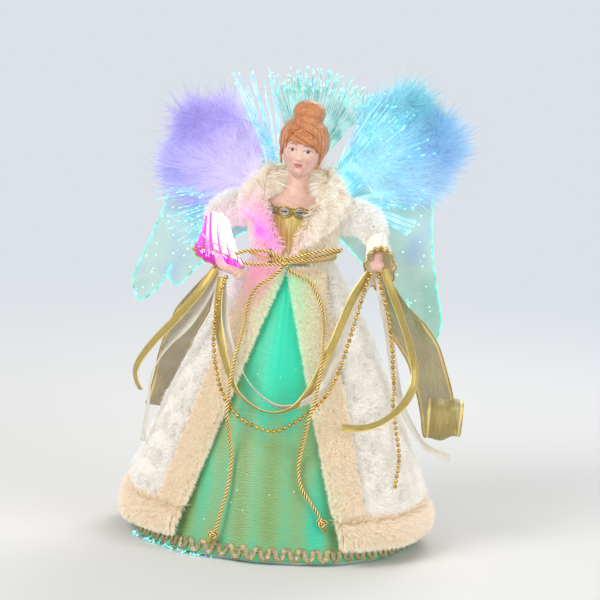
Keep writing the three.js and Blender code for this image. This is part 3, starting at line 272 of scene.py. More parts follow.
def discard(*pieces):
    for piece in pieces:
        bpy.data.objects.remove(piece, do_unlink=True)


def baked(piece, name):
    bpy.context.view_layer.update()
    graph = bpy.context.evaluated_depsgraph_get()
    result = piece.evaluated_get(graph)
    mesh = bpy.data.meshes.new_from_object(result, preserve_all_data_layers=True, depsgraph=graph)
    return link(name, mesh)


def edited(piece, change):
    work = bmesh.new()
    work.from_mesh(piece.data)
    change(work)
    work.to_mesh(piece.data)
    work.free()
    return piece


def merge_doubles(work):
    bmesh.ops.remove_doubles(work, verts=work.verts, dist=0.01 * MM)


def cushion(node, name, voxel, inset):
    """A rounded soft form inside a CAD solid: remeshed, smoothed and drawn in by the length of its pile."""
    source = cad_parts[node]
    raw = link(name + " raw", source.data.copy())
    raw.data.transform(source.matrix_world)
    raw.data.materials.clear()
    edited(raw, merge_doubles)
    raw.modifiers.new("even", "REMESH").voxel_size = voxel
    raw.modifiers.new("relax", "SMOOTH").iterations = 4
    shrink = raw.modifiers.new("inset", "DISPLACE")
    shrink.mid_level = 0
    shrink.strength = -inset
    made = baked(raw, name)
    discard(raw)
    return smooth(made)


def thickened(sheet, name, thickness, material):
    """A sheet turned into closed thin cloth, in its own material."""
    sheet.modifiers.new("cloth", "SOLIDIFY").thickness = thickness
    made = baked(sheet, name)
    discard(sheet)
    made.data.materials.clear()
    made.data.materials.append(material)
    return smooth(made)


def settle(piece, body, slot, *nodes, finish=None):
    if finish:
        piece.data.materials.append(finish)
    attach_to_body(piece, body)
    if nodes:
        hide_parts(*nodes)
    return piece


def count(piece):
    piece.data.calc_loop_triangles()
    return len(piece.data.loop_triangles)


# %% Helpers for geometry-node trees
def new_tree(name, **inputs):
    tree = bpy.data.node_groups.new(name, "GeometryNodeTree")
    tree.interface.new_socket("Geometry", in_out="INPUT", socket_type="NodeSocketGeometry")
    for label, kind in inputs.items():
        tree.interface.new_socket(label, in_out="INPUT", socket_type="NodeSocket" + kind)
    tree.interface.new_socket("Geometry", in_out="OUTPUT", socket_type="NodeSocketGeometry")
    return tree, add(tree, "NodeGroupInput").outputs


def close_tree(tree, geometry, material):
    real = add(tree, "GeometryNodeRealizeInstances", {0: geometry})
    round_off = add(tree, "GeometryNodeSetShadeSmooth", {0: real.outputs[0]})
    painted = add(tree, "GeometryNodeSetMaterial", {0: round_off.outputs[0], "Material": material})
    add(tree, "NodeGroupOutput", {0: painted.outputs[0]})
    return tree


def stored(tree, name, kind="FLOAT"):
    return add(tree, "GeometryNodeInputNamedAttribute", {"Name": name}, data_type=kind).outputs[0]


def store(tree, geometry, name, value, kind="FLOAT"):
    links = {0: geometry, "Name": name, "Value": value}
    return add(tree, "GeometryNodeStoreNamedAttribute", links, data_type=kind, domain="POINT").outputs[0]


def curve_of(tree, geometry):
    return add(tree, "GeometryNodeMeshToCurve", {0: geometry}).outputs[0]


def circle(tree, sides, radius):
    return add(tree, "GeometryNodeCurvePrimitiveCircle", {"Resolution": sides, "Radius": radius}).outputs[0]


def tube(tree, path, ring):
    links = {"Curve": path, "Profile Curve": ring, "Fill Caps": True}
    return add(tree, "GeometryNodeCurveToMesh", links).outputs[0]


def grown(base, tree, name, **values):
    """Runs a tree on a base mesh and returns the result as a plain mesh; the base keeps no modifier."""
    modifier = base.modifiers.new(tree.name, "NODES")
    modifier.node_group = tree
    for item in tree.interface.items_tree:
        if item.in_out == "INPUT" and item.name in values:
            modifier[item.identifier] = values[item.name]
    made = baked(base, name)
    base.modifiers.remove(modifier)
    return made


# %% [markdown]
# Plush, shawl collar and feather down are all the same thing at different scales: a cloth with
# thousands of leaning hairs. One tree scatters points on a form, leans a bent blade of a few faces
# at each, and can turn the lean into little rosettes, which is how the ivory rose-swirl plush is combed.
# The way a hair leans comes from a vector called comb, painted on the form by a rule.

# %% One bent hair
def hair_blade():
    rows = [(0.0, 1.0, 0.0), (0.6, 0.75, 0.08)]
    verts = [(side * width / 2, bend, rise) for rise, width, bend in rows for side in (-1, 1)]
    verts.append((0, 0.25, 1))
    made = new_piece("hair blade", verts, [(0, 1, 3, 2), (2, 3, 4)])
    attach(made, "tip", "FLOAT", [v[2] for v in verts])
    return made


blade = hair_blade()


# %% The pile tree
def vector_mix(tree, share, first, second):
    return add(tree, "ShaderNodeMix", {0: share, 4: first, 5: second}, data_type="VECTOR").outputs[1]


def pile_tree():
    tree, given = new_tree(
        "pile", Blade="Object", Density="Float", Length="Float", Width="Float", Lean="Float", Swirl="Float",
        Rosette="Float", Jitter="Float", Seed="Int", Material="Material",
    )
    seed = given["Seed"]
    points = add(tree, "GeometryNodeDistributePointsOnFaces", {
        "Mesh": given["Geometry"], "Seed": seed,
        "Density": maths(tree, "MULTIPLY", stored(tree, "pelt"), given["Density"]),
    }).outputs
    normal = points["Normal"]
    place = add(tree, "GeometryNodeInputPosition").outputs[0]
    heart = add(tree, "ShaderNodeTexVoronoi", {
        "Vector": place, "Scale": maths(tree, "DIVIDE", 1.0, given["Rosette"]), "Randomness": 0.75,
    }).outputs
    spoke = vectors(tree, "SUBTRACT", place, heart["Position"])
    turn = vectors(tree, "NORMALIZE", vectors(tree, "CROSS_PRODUCT", normal, spoke))
    swirl = vector_mix(tree, given["Swirl"], stored(tree, "comb", "FLOAT_VECTOR"), turn)
    near = {0: heart["Distance"], 1: 0.0, 2: 0.32, 3: given["Swirl"], 4: 0.0}
    upright = maths(tree, "SUBTRACT", 1.0, add(tree, "ShaderNodeMapRange", near).outputs[0])
    lean = vector_mix(tree, maths(tree, "MULTIPLY", given["Lean"], upright), normal, swirl)
    stray = add(tree, "FunctionNodeRandomValue", {
        0: (-1, -1, -1), 1: (1, 1, 1), "Seed": seed,
    }, data_type="FLOAT_VECTOR").outputs[0]
    aim = vectors(tree, "ADD", lean, vectors(tree, "SCALE", stray, Scale=given["Jitter"]))
    up = add(tree, "FunctionNodeAlignRotationToVector", {"Vector": aim}, axis="Z").outputs[0]
    spin = add(tree, "FunctionNodeRandomValue", {2: 0.0, 3: TURN, "Seed": seed}, data_type="FLOAT").outputs[1]
    spin = add(tree, "FunctionNodeAxisAngleToRotation", {"Axis": (0, 0, 1), "Angle": spin}).outputs[0]
    up = add(tree, "FunctionNodeRotateRotation", {0: up, 1: spin}, rotation_space="LOCAL").outputs[0]
    vary = add(tree, "FunctionNodeRandomValue", {2: 0.65, 3: 1.1, "Seed": seed}, data_type="FLOAT").outputs[1]
    reach = maths(tree, "MULTIPLY", maths(tree, "MULTIPLY", given["Length"], vary), stored(tree, "grow"))
    size = add(tree, "ShaderNodeCombineXYZ", {0: given["Width"], 1: given["Length"], 2: reach}).outputs[0]
    placed = add(tree, "GeometryNodeInstanceOnPoints", {
        "Points": store(tree, points["Points"], "shade", vary),
        "Instance": add(tree, "GeometryNodeObjectInfo", {"Object": given["Blade"]}).outputs["Geometry"],
        "Rotation": up, "Scale": size,
    })
    return close_tree(tree, placed.outputs[0], given["Material"])


pile = pile_tree()
ROSETTE = 18 * MM


def even(place, normal):
    return 1.0


def comb_form(form, direction, pelt, grow):
    """Paints how hair leans at each vertex, how thick it grows and how long."""
    leans, thick, grows = [], [], []
    for vertex in form.data.vertices:
        lean = direction(vertex.co, vertex.normal)
        lean = lean - vertex.normal * lean.dot(vertex.normal)
        leans.extend(lean.normalized() if lean.length > 1e-6 else (0, 0, 0))
        thick.append(pelt(vertex.co, vertex.normal))
        grows.append(grow(vertex.co, vertex.normal))
    attach(form, "comb", "FLOAT_VECTOR", leans)
    attach(form, "pelt", "FLOAT", thick)
    attach(form, "grow", "FLOAT", grows)


def pelt_area(form):
    thick = [d.value for d in form.data.attributes["pelt"].data]
    return sum(f.area * sum(thick[i] for i in f.vertices) / len(f.vertices) for f in form.data.polygons)


def pile_on(form, name, material, strands, length, width, lean, jitter, seed, swirl=0.0):
    hairs = grown(
        form, pile, name, Blade=blade, Density=strands / pelt_area(form), Length=length, Width=width,
        Lean=lean, Swirl=swirl, Rosette=ROSETTE, Jitter=jitter, Seed=seed, Material=material,
    )
    print(name, count(hairs), "triangles")
    return hairs


# %% [markdown]
# Plush is a knitted ground with a polyester pile. Seen close, each hair is dark at the root, where no
# light gets in, and pale at the tip, with a soft sheen along its edge. The hair carries that as the
# attribute tip, and its own small difference from its neighbours as the attribute shade. Light that
# passes from hair to hair is added as a faint glow, and the attribute cast adds light from a lit piece
# near by: its colour, and how much of it as alpha.

# %% Plush finishes
def plush_material(name, root, middle, end):
    material, tree, shader = surface(
        name, Roughness=0.85, Sheen_Weight=0.35, Sheen_Roughness=0.5, Specular_IOR_Level=0.2,
        Emission_Strength=1.0,
    )
    mixed = maths(tree, "MULTIPLY", mark(tree, "tip"), mark(tree, "shade"))
    tone = ramp(tree, mixed, (0.0, root), (0.4, middle), (0.95, end))
    cast = add(tree, "ShaderNodeAttribute", attribute_name="cast").outputs
    body = blend(tree, cast["Alpha"], tone, cast["Color"])
    power = maths(tree, "MULTIPLY_ADD", cast["Alpha"], 0.4, 0.13)
    wire(shader, Base_Color=body, Emission_Color=vectors(tree, "SCALE", body, Scale=power))
    return material


def ground_material(name, colour, dark):
    """Knitted ground between the hairs: loops about 1.2 mm apart."""
    material, tree, shader = surface(name, Roughness=0.95)
    loops = cells(tree, spot(tree), 1.2 * MM)["Distance"]
    wire(shader, Base_Color=ramp(tree, loops, (0.1, colour), (0.8, dark)))
    relief(shader, loops, 0.3 * MM, 0.5)
    return material


IVORY = (
    ground_material("ivory knit ground", "#e8e3da", "#d3cdc2"),
    plush_material("ivory rose-swirl polyester plush", "#e2ddd4", "#f2eee7", "#fdfbf7"),
)
BEIGE = (
    ground_material("beige knit ground", "#ead8ba", "#d3bd99"),
    plush_material("beige polyester plush", "#e0cbab", "#f3e4cc", "#fdf5e9"),
)
CREAM = (
    ground_material("cream knit ground", "#e3d6c0", "#c0b094"),
    plush_material("cream long-pile plush", "#dccdb3", "#f2e9d8", "#fefaf2"),
)


# %% [markdown]
# The skirt hangs over a cone, so its rules are written once: the cone's swelling side, the room for
# the fibres under the dress, and the soft folds that grow towards the hem. The ribbons and cords
# further down lie on the same surfaces.

# %% Rules of the skirt, in millimetres
CONE_HEIGHT = 197
CONE_FOOT = 97
CONE_TOP = 19
CONE_SWELL = 9.5
WAIST = 197.3
FIBER_ROOM = 1.8
DRESS_CLOTH = 1.2
FOLD_DEPTH = 2.6
FOLDS = 12
COAT_FLARE = 4
TRIM_THICK = 9.5


def cone_radius(z):
    share = z / CONE_HEIGHT
    return CONE_FOOT + (CONE_TOP - CONE_FOOT) * share + CONE_SWELL * 4 * share * (1 - share)


def hang(z):
    return 1 - z / CONE_HEIGHT


def dress_radius(angle, z):
    fold = FOLD_DEPTH * hang(z) * (1 + math.cos(FOLDS * angle + 0.5 * math.sin(2 * angle + z / 60))) / 2
    gather = 0.35 * (z / CONE_HEIGHT) ** 4 * math.sin(60 * angle)
    return cone_radius(z) + FIBER_ROOM + fold + gather + DRESS_CLOTH


def coat_inner(z):
    flare = COAT_FLARE * max(0, 1 - z / (0.4 * CONE_HEIGHT))
    return cone_radius(z) + FIBER_ROOM + DRESS_CLOTH + FOLD_DEPTH * hang(z) + 0.6 + flare


def polar(radius, angle, z):
    return Vector((radius * math.sin(angle), -radius * math.cos(angle), z)) * MM


def bell(distance, spread):
    return math.exp(-(distance / spread) ** 2)


print("hem radius", round(dress_radius(0, 2.5), 1), "mm")


# %% [markdown]
# The dress is thin shot lame with light behind it. The glow is a rule over the cloth, not a picture:
# strongest in a tall flame below the bow, where the lamp sits, weaker along the hem, and streaked by the
# folds. The weave shows as fine wavy ripples about 1.7 mm apart, and fibre ends prick through it as
# points of cyan light.

# %% Lame with light behind it
def lame_material():
    material, tree, shader = surface("lit lame", Roughness=0.42, Sheen_Weight=0.2, Emission_Strength=0.34)
    cloth = add(tree, "ShaderNodeUVMap").outputs[0]
    ripple = add(tree, "ShaderNodeTexWave", {
        "Vector": cloth, "Scale": 0.314 / (1.7 * MM), "Distortion": 9.0, "Detail": 2.0, "Detail Scale": 1.1,
    }, bands_direction="Y").outputs["Fac"]
    thread = maths(tree, "MULTIPLY", ripple, grain(tree, cloth, 0.8 * MM, 2.0))
    shifted = maths(tree, "MULTIPLY_ADD", thread, 0.5, mark(tree, "glow"))
    # The cloth's own colour also follows the painted glow, turning from olive green to teal where more light
    # comes through, so it carries painted light as well as the emission.
    tone = ramp(tree, shifted, (0.0, "#7f9c58"), (0.3, "#83b077"), (0.6, "#3fb48c"), (1.0, "#1cbd98"))
    lit = ramp(tree, shifted, (0.05, "#0b150a"), (0.4, "#2a5f40"), (1.0, "#1cc79f"))
    spots = cells(tree, cloth, 8 * MM)
    near = maths(tree, "LESS_THAN", spots["Distance"], 0.085)
    draw = add(tree, "ShaderNodeSeparateColor", {0: spots["Color"]}).outputs[0]
    prick = maths(tree, "MULTIPLY", near, maths(tree, "GREATER_THAN", draw, 0.45))
    wire(shader, Base_Color=tone, Emission_Color=blend(tree, prick, lit, paint("#c8fff4")))
    relief(shader, thread, 0.35 * MM, 0.6)
    return material


# %% The dress as one sheet
DRESS_HEM = 2.5
DRESS_COLUMNS = 240
DRESS_ROWS = 64
BACK_GLOW = 0.35
MAP_RADIUS = 80 * MM


def dress_glow(x, z):
    flame = bell(x - 4, 11 + 0.16 * (CONE_HEIGHT - z)) * min(1, max(0, (z - 78) / 48))
    corner = 0.4 * bell(x - 40, 14) * bell(z - 26, 34)
    hem = 0.3 * bell(z - 4, 9)
    left = 0.25 * bell(x + 34, 12) * bell(z - 45, 30)
    return 0.1 + max(0.85 * flame, corner, hem, left)


def fold_light(angle, z):
    """Folds that stand off the cone let more light through."""
    return 0.15 * (0.35 + 0.65 * hang(z)) * math.cos(26 * angle + 1.3 * math.sin(3 * angle + z / 45))


def make_dress():
    wrap = DRESS_COLUMNS
    verts, glows = [], []
    rows = [DRESS_HEM + (CONE_HEIGHT - DRESS_HEM) * i / DRESS_ROWS for i in range(DRESS_ROWS + 1)]
    for z in rows:
        for j in range(wrap):
            angle = TURN * j / wrap
            radius = dress_radius(angle, z)
            verts.append(polar(radius, angle, z))
            share = 1 if math.cos(angle) > 0 else BACK_GLOW
            glows.append((dress_glow(radius * math.sin(angle), z) + fold_light(angle, z)) * share)
    sheet = new_piece("lame dress", verts, tube_faces(DRESS_ROWS, wrap))
    attach(sheet, "glow", "FLOAT", glows)
    layer = sheet.data.uv_layers.new(name="cloth")
    flat = []
    for face in sheet.data.polygons:
        first = face.vertices[0] % wrap
        for index in face.vertices:
            column = index % wrap
            column = column + wrap if first == wrap - 1 and column == 0 else column
            flat.extend((column / wrap * TURN * MAP_RADIUS, rows[index // wrap] * MM))
    layer.data.foreach_set("uv", flat)
    return thickened(sheet, "lame dress cloth", 0.4 * MM, lame_material())


dress = settle(make_dress(), FIGURE, "dress_lame", "dress_skirt")
HEM_ROUND = TURN * dress_radius(0, DRESS_HEM) * MM
print("dress", count(dress), "triangles")


# %% [markdown]
# The hem carries a gimp braid: a flat trimming whose cords run in tight serpentine loops, gold
# outside and silver inside. Each cord is a path of points worked out by rule, and a short tree sweeps
# a round section along it.

# %% A tree that sweeps a round cord along a path
def sweep_tree():
    tree, given = new_tree("swept cord", Radius="Float", Sides="Int", Material="Material")
    ring = circle(tree, given["Sides"], given["Radius"])
    return close_tree(tree, tube(tree, curve_of(tree, given["Geometry"]), ring), given["Material"])


sweep = sweep_tree()


def run_along(name, paths, tree, closed=False, **values):
    """Several paths as one mesh of edges, and what a tree makes of them."""
    verts, edges = [], []
    for path in paths:
        start = len(verts)
        verts.extend(path)
        edges.extend((start + i, start + i + 1) for i in range(len(path) - 1))
        if closed:
            edges.append((len(verts) - 1, start))
    base = new_piece(name + " path", verts, [], edges)
    made = grown(base, tree, name, **values)
    discard(base)
    return made


def swept(name, paths, radius, sides, material, closed=False):
    return run_along(name, paths, sweep, closed, Radius=radius, Sides=sides, Material=material)


def joined(name, pieces):
    """Several finished meshes as one piece, each keeping its material."""
    work = bmesh.new()
    mesh = bpy.data.meshes.new(name)
    for index, piece in enumerate(pieces):
        before = len(work.faces)
        work.from_mesh(piece.data)
        work.faces.ensure_lookup_table()
        for face in work.faces[before:]:
            face.material_index = index
            face.smooth = True
        mesh.materials.append(next(m for m in piece.data.materials if m))
    work.to_mesh(mesh)
    work.free()
    discard(*pieces)
    return link(name, mesh)


# %% Metallic threads
def metal_thread(name, colour, dark, roughness, pitch):
    """Metallised film wound on a core: bright bands across the thread, one each turn of the winding, are a
    painted highlight, and the darker tone between them is painted shade.
    """
    return grained(
        name, pitch, 3.0, (0.3, dark), (0.62, colour), bump=(0.1 * MM, 0.5),
        Metallic=0.85, Roughness=roughness,
    )


gold_thread = metal_thread("gold metallic thread", "#d9b95c", "#8a6a22", 0.34, 0.8 * MM)
silver_thread = metal_thread("silver metallic thread", "#cfccc2", "#83817a", 0.38, 0.8 * MM)

# %% Gimp braid round the hem
GIMP_PITCH = 10.4
GIMP_HEIGHT = 9.9
GIMP_CORD = 0.52
GIMP_LIFT = 0.8
GIMP_STEPS = 10
GIMP_CORDS = ((-1.38, gold_thread), (-0.46, silver_thread), (0.46, silver_thread), (1.38, gold_thread))


def gimp_path(offset):
    """One cord of the meander: half circles up and down in turn, joined by short straight legs."""
    loops = round(HEM_ROUND / MM / GIMP_PITCH)
    bend = GIMP_PITCH / 4
    middle = DRESS_HEM + GIMP_HEIGHT / 2
    leg = GIMP_HEIGHT / 2 - GIMP_CORDS[-1][0] - GIMP_CORD - bend
    points = []
    for half in range(2 * loops):
        way = 1 if half % 2 == 0 else -1
        reach = bend + way * offset
        for step in range(GIMP_STEPS + 1):
            turn = math.pi * step / GIMP_STEPS
            across = (half + 0.5) / 2 - reach * math.cos(turn) / GIMP_PITCH
            angle = TURN * across / loops
            z = middle + way * (leg + reach * math.sin(turn))
            points.append(polar(dress_radius(angle, z) + GIMP_LIFT, angle, z))
    return points


gimp = joined("gimp braid", [
    swept(f"gimp cord {offset}", [gimp_path(offset)], GIMP_CORD * MM, 6, thread, closed=True)
    for offset, thread in GIMP_CORDS
])
settle(gimp, FIGURE, "gimp", "hem_braid")
print("gimp braid", count(gimp), "triangles")


# %% [markdown]
# The coat is plush. Each solid of the frame gives a rounded ground, and the pile tree grows the hair on
# the sides that show. The ivory panels are combed in rosettes about 18 mm across; the beige trim at the
# front edges and the hem is brushed down and outwards; the shawl collar has the longest hair.

# %% Which way the hair lies
def outward(place):
    return Vector((place.x, place.y, 0)).normalized()


def down_and_out(place, normal):
    return Vector((0, 0, -1)) + 0.35 * outward(place)


def shows(place, normal):
    return 1.0 if normal.dot(outward(place)) > -0.25 else 0.0


def hem_brush(place, normal):
    """Hair of the hem trim stands up on its top edge, where the panels end, and lies down elsewhere."""
    return Vector((0, 0, 1)) if normal.z > 0.72 else down_and_out(place, normal)


def hem_growth(place, normal):
    return 1.0 + 0.5 * max(0, normal.z)


def edge_brush(side):
    return lambda place, normal: Vector((-0.55 * side, -0.2, -0.8))


def behind_neck(place, normal):
    return normal.dot(outward(place)) < 0.1 and place.y > -3 * MM


def shaggy(place, normal):
    """Hair of the collar grows in clumps, and longest behind the neck, where it hangs as a curtain."""
    return 2.1 if behind_neck(place, normal) else 0.55 + 0.9 * noise.noise(place / (7 * MM))


def from_neck(place, normal):
    if behind_neck(place, normal):
        return Vector((0, 0, -1))
    return Vector((1.6 * place.x, place.y + 4 * MM, 0)).normalized() + Vector((0, 0, -0.45))


def lapel(place, normal):
    """Hair on the collar is thin on the edge that faces the neckline, so that the bodice shows."""
    inward = -normal.x * math.copysign(1, place.x)
    return 0.12 if inward > 0.45 and place.y < -12 * MM else 1.0


# %% Light from lit pieces near by
CASTS = (
    (Vector((-29, -40, 213)), 24, "#e01fd6", 1.1),
    (Vector((-66, 18, 236)), 22, "#a9a2f6", 0.5),
    (Vector((68, 18, 238)), 22, "#9ad4f6", 0.4),
)


def cast_light(form):
    """Colour thrown on plush by the lit cuff, the wings and the dress, with its share as alpha."""
    colours = []
    for vertex in form.data.vertices:
        place = vertex.co / MM
        parts = [(share * bell((place - where).length, spread), code) for where, spread, code, share in CASTS]
        if place.y < -15 and place.z < WAIST - 4:
            parts.append((0.5 * (dress_glow(place.x, place.z) - 0.1), "#3fd8ab"))
        share, code = max(parts)
        colours.extend((*paint(code)[:3], min(0.95, share)))
    attach(form, "cast", "FLOAT_COLOR", colours)


def plush_piece(node, name, cloth, slot, voxel, inset, direction, fill, pelt=shows, grow=even, **growth):
    ground, hair = cloth
    form = cushion(node, name + " ground", voxel, inset)
    form.data.materials.append(ground)
    comb_form(form, direction, pelt, grow)
    cast_light(form)
    hairs = pile_on(form, name + " pile", hair, **growth)
    settle(form, FIGURE, slot, node)
    settle(hairs, FIGURE, slot)


# %% Coat panels in rose-swirl plush
ROSE = dict(length=6.5 * MM, width=0.6 * MM, lean=0.7, swirl=0.8, jitter=0.22)
for seed, (side, strands) in enumerate((("left", 44000), ("right", 44000), ("back", 50000))):
    plush_piece(
        f"coat_panel_{side}", f"coat panel {side}", IVORY, "plush_ivory", 3 * MM, 1.6 * MM, down_and_out, 0.3,
        strands=strands, seed=seed + 1, **ROSE,
    )

# %% Beige trim on the front edges and the hem
TRIM = dict(length=4.6 * MM, width=0.55 * MM, lean=0.5, jitter=0.3)
for side, sign in (("left", -1), ("right", 1)):
    plush_piece(
        f"front_trim_{side}", f"front trim {side}", BEIGE, "plush_beige", 2.5 * MM, 2.2 * MM,
        edge_brush(sign), 0.6, strands=34000, seed=7, **TRIM,
    )
plush_piece(
    "hem_trim", "hem trim", BEIGE, "plush_beige", 3 * MM, 2.4 * MM, hem_brush, 0.7, grow=hem_growth,
    strands=52000, seed=9, **TRIM,
)

# %% Shawl collar, bodice of the coat and sleeves
SHAG = dict(length=9.5 * MM, width=0.6 * MM, lean=0.58, jitter=0.3)
SLEEVE = dict(length=6.5 * MM, width=0.6 * MM, lean=0.6, swirl=0.3, jitter=0.25)
plush_piece(
    "collar", "shawl collar", CREAM, "plush_ivory", 2.5 * MM, 2.6 * MM, from_neck, 0.7,
    pelt=lapel, grow=shaggy, strands=42000, seed=11, **SHAG,
)
plush_piece(
    "coat_bodice", "coat bodice", CREAM, "plush_ivory", 2 * MM, 1.4 * MM, down_and_out, 0.5,
    strands=9000, seed=12, **TRIM,
)
for side in ("left", "right"):
    plush_piece(
        f"sleeve_{side}", f"sleeve {side}", IVORY, "plush_ivory", 2.5 * MM, 2.2 * MM, down_and_out, 0.8,
        pelt=even, strands=13000, seed=13, **SLEEVE,
    )


# %% [markdown]
# Cords, bead chains and ribbons have a fixed length and hang from the hands or the bow. Each follows the
# same points as its solid in the frame, listed in millimetres, on one smooth curve through them.
# Points on the skirt are given as x, height and lift over the plush, and the skirt's own rule places them.

# %% Smooth routes
SPLINE_CUTS = 24


def route_length(points):
    return sum((b - a).length for a, b in zip(points, points[1:]))


def smooth_route(points, step):
    """Centripetal spline through the points, cut into even steps."""
    ends = [2 * points[0] - points[1]] + list(points) + [2 * points[-1] - points[-2]]
    dense = []
    for p0, p1, p2, p3 in zip(ends, ends[1:], ends[2:], ends[3:]):
        t1 = (p1 - p0).length ** 0.5
        t2 = t1 + (p2 - p1).length ** 0.5
        t3 = t2 + (p3 - p2).length ** 0.5
        for k in range(SPLINE_CUTS):
            t = t1 + (t2 - t1) * k / SPLINE_CUTS
            a1 = p0.lerp(p1, t / t1)
            a2 = p1.lerp(p2, (t - t1) / (t2 - t1))
            a3 = p2.lerp(p3, (t - t2) / (t3 - t2))
            b1 = a1.lerp(a2, t / t2)
            b2 = a2.lerp(a3, (t - t1) / (t3 - t1))
            dense.append(b1.lerp(b2, (t - t1) / (t2 - t1)))
    dense.append(points[-1].copy())
    total = route_length(dense)
    steps = max(4, round(total / step))
    route, walked, index = [dense[0]], 0.0, 0
    for k in range(1, steps):
        goal = total * k / steps
        while walked + (dense[index + 1] - dense[index]).length < goal:
            walked += (dense[index + 1] - dense[index]).length
            index += 1
        span = (dense[index + 1] - dense[index]).length
        route.append(dense[index].lerp(dense[index + 1], (goal - walked) / span))
    return route + [dense[-1]]


def at(*places):
    return [Vector(place) * MM for place in places]


def on_skirt(*places):
    found = []
    for x, z, lift in places:
        radius = coat_inner(z) + TRIM_THICK + lift
        found.append(Vector((x, -math.sqrt(radius ** 2 - x * x), z)) * MM)
    return found


def hang_cord(piece, route, thick, far_end, **extra):
    print(piece.name, round(route_length(route), 4), "m", count(piece), "triangles")


# %% A tree that twists three strands into a cord
STRANDS = 3
CORD_LAY = 8 * MM
CORD_THICK = 2.8 * MM


def twist_tree():
    tree, given = new_tree("twisted cord", Lay="Float", Offset="Float", Strand="Float", Material="Material")
    ring = circle(tree, 6, given["Strand"])
    along = add(tree, "GeometryNodeSplineParameter").outputs["Length"]
    turns = maths(tree, "DIVIDE", along, given["Lay"])
    normal = add(tree, "GeometryNodeInputNormal").outputs[0]
    side = vectors(tree, "CROSS_PRODUCT", add(tree, "GeometryNodeInputTangent").outputs[0], normal)
    here = add(tree, "GeometryNodeInputPosition").outputs[0]
    path = store(tree, curve_of(tree, given["Geometry"]), "axis", here, "FLOAT_VECTOR")
    out = vectors(tree, "DISTANCE", here, stored(tree, "axis", "FLOAT_VECTOR"))
    # ridge: how far a point lies out from the cord's axis, which the cord's material turns into a painted
    # highlight outside and painted shade in the grooves.
    ridge = maths(tree, "DIVIDE", out, maths(tree, "ADD", given["Offset"], given["Strand"]))
    bundle = add(tree, "GeometryNodeJoinGeometry")
    for strand in range(STRANDS):
        turn = maths(tree, "MULTIPLY_ADD", turns, TURN, strand * TURN / STRANDS)
        parts = []
        for wave, axis in (("COSINE", normal), ("SINE", side)):
            reach = maths(tree, "MULTIPLY", maths(tree, wave, turn), given["Offset"])
            parts.append(vectors(tree, "SCALE", axis, Scale=reach))
        shift = vectors(tree, "ADD", *parts)
        moved = add(tree, "GeometryNodeSetPosition", {"Geometry": path, "Offset": shift})
        tree.links.new(tube(tree, moved.outputs[0], ring), bundle.inputs[0])
    return close_tree(tree, store(tree, bundle.outputs[0], "ridge", ridge), given["Material"])


def gold_cord_material():
    """Rayon cord wound with metallised film: bright on the ridge of each strand as a painted highlight, dark
    in the grooves as painted shade.
    """
    material, tree, shader = surface("gold metallic cord", Metallic=0.5, Roughness=0.36)
    winding = add(tree, "ShaderNodeTexWave", {
        "Vector": spot(tree), "Scale": 0.32 / (0.7 * MM), "Distortion": 3.0,
    }, bands_direction="DIAGONAL").outputs["Fac"]
    mixed = maths(tree, "MULTIPLY_ADD", winding, 0.08, mark(tree, "ridge"))
    wire(shader, Base_Color=ramp(tree, mixed, (0.62, "#4a3208"), (0.84, "#c3923a"), (1.0, "#ffe39a")))
    relief(shader, winding, 0.1 * MM, 0.5)
    return material


twist = twist_tree()
gold_cord = gold_cord_material()


def twisted(name, paths):
    return run_along(
        name, paths, twist, Lay=CORD_LAY, Offset=0.29 * CORD_THICK, Strand=0.21 * CORD_THICK,
        Material=gold_cord,
    )


# %% Waist cord with its bow
RING_Z = WAIST + 5
RING_WIDE = 30.4
RING_DEEP = 26.8
RING_GAP = 0.04
BOW_KNOT = Vector((0, -39.5, RING_Z)) * MM
CORD_STEP = 0.7 * MM


def ring_point(turn):
    bulge = 1 + 0.45 * max(0, math.cos(turn)) ** 4
    return Vector((RING_WIDE * math.sin(turn), -RING_DEEP * bulge * math.cos(turn), RING_Z)) * MM


def knot_path(centre, size):
    """A trefoil: the path of the simplest knot."""
    return [
        centre + size * Vector((
            (math.sin(t) + 2 * math.sin(2 * t)) / 3,
            math.sin(3 * t) / 2.4,
            (math.cos(t) - 2 * math.cos(2 * t)) / 3,
        ))
        for t in (TURN * i / 60 for i in range(61))
    ]


waist_routes = (
    [ring_point(RING_GAP + (TURN - 2 * RING_GAP) * i / 40) for i in range(41)],
    at(
        (0, -40, 204), (-14, -43, 209), (-28, -45, 208), (-35, -45, 204), (-28, -45, 200), (-14, -43, 199.5),
        (0, -40, 201),
    ),
    at(
        (0, -40, 204), (15, -42, 208.8), (30, -42, 213), (39, -40, 214), (32, -38, 210.2), (15, -40, 205),
        (0, -40, 201),
    ),
    knot_path(BOW_KNOT, 3.4 * MM),
)
waist_cord = twisted("waist cord and bow", [smooth_route(route, CORD_STEP) for route in waist_routes])
settle(waist_cord, FIGURE, "gold_cord", "waist_cord")
print("waist cord", count(waist_cord), "triangles")

# %% Two cord tails, each ending in a knot with a frayed tuft
left_tail = at((-1.5, -41, 197.5)) + on_skirt(
    (-9, 190, 5), (-16, 185, 4), (-21, 178, 2.5), (-23.5, 168, 2.2), (-24, 155, 5), (-25.5, 143, 9),
    (-26.3, 135, 10.5), (-27, 127, 12), (-27.5, 118, 12), (-27, 107, 12.8), (-26.5, 99, 11), (-25.5, 91, 5),
    (-24, 82, -1), (-22.5, 72, -6), (-22, 62, -8), (-22.5, 51, -8), (-25, 35, -8), (-27, 24, -8),
    (-29, 17, -8),
)
right_tail = at((2.5, -41, 197.5)) + on_skirt(
    (10, 193, 5), (17, 190, 4), (23, 182, 2.5), (28, 172, 2.2), (31.5, 158, 5), (33, 147, 9.5),
    (33.8, 139, 11.5), (34, 132, 11.5), (33.2, 120, 11.5), (31.5, 108, 12.8), (29.5, 99, 11), (28, 91, 5),
    (26.3, 82, -1.5), (25, 73, -6.5), (25, 64, -8), (28.5, 53, -8), (36, 43, -8), (42, 35, -8),
    (44.5, 30, -8),
)
TUFT_HAIRS = 22


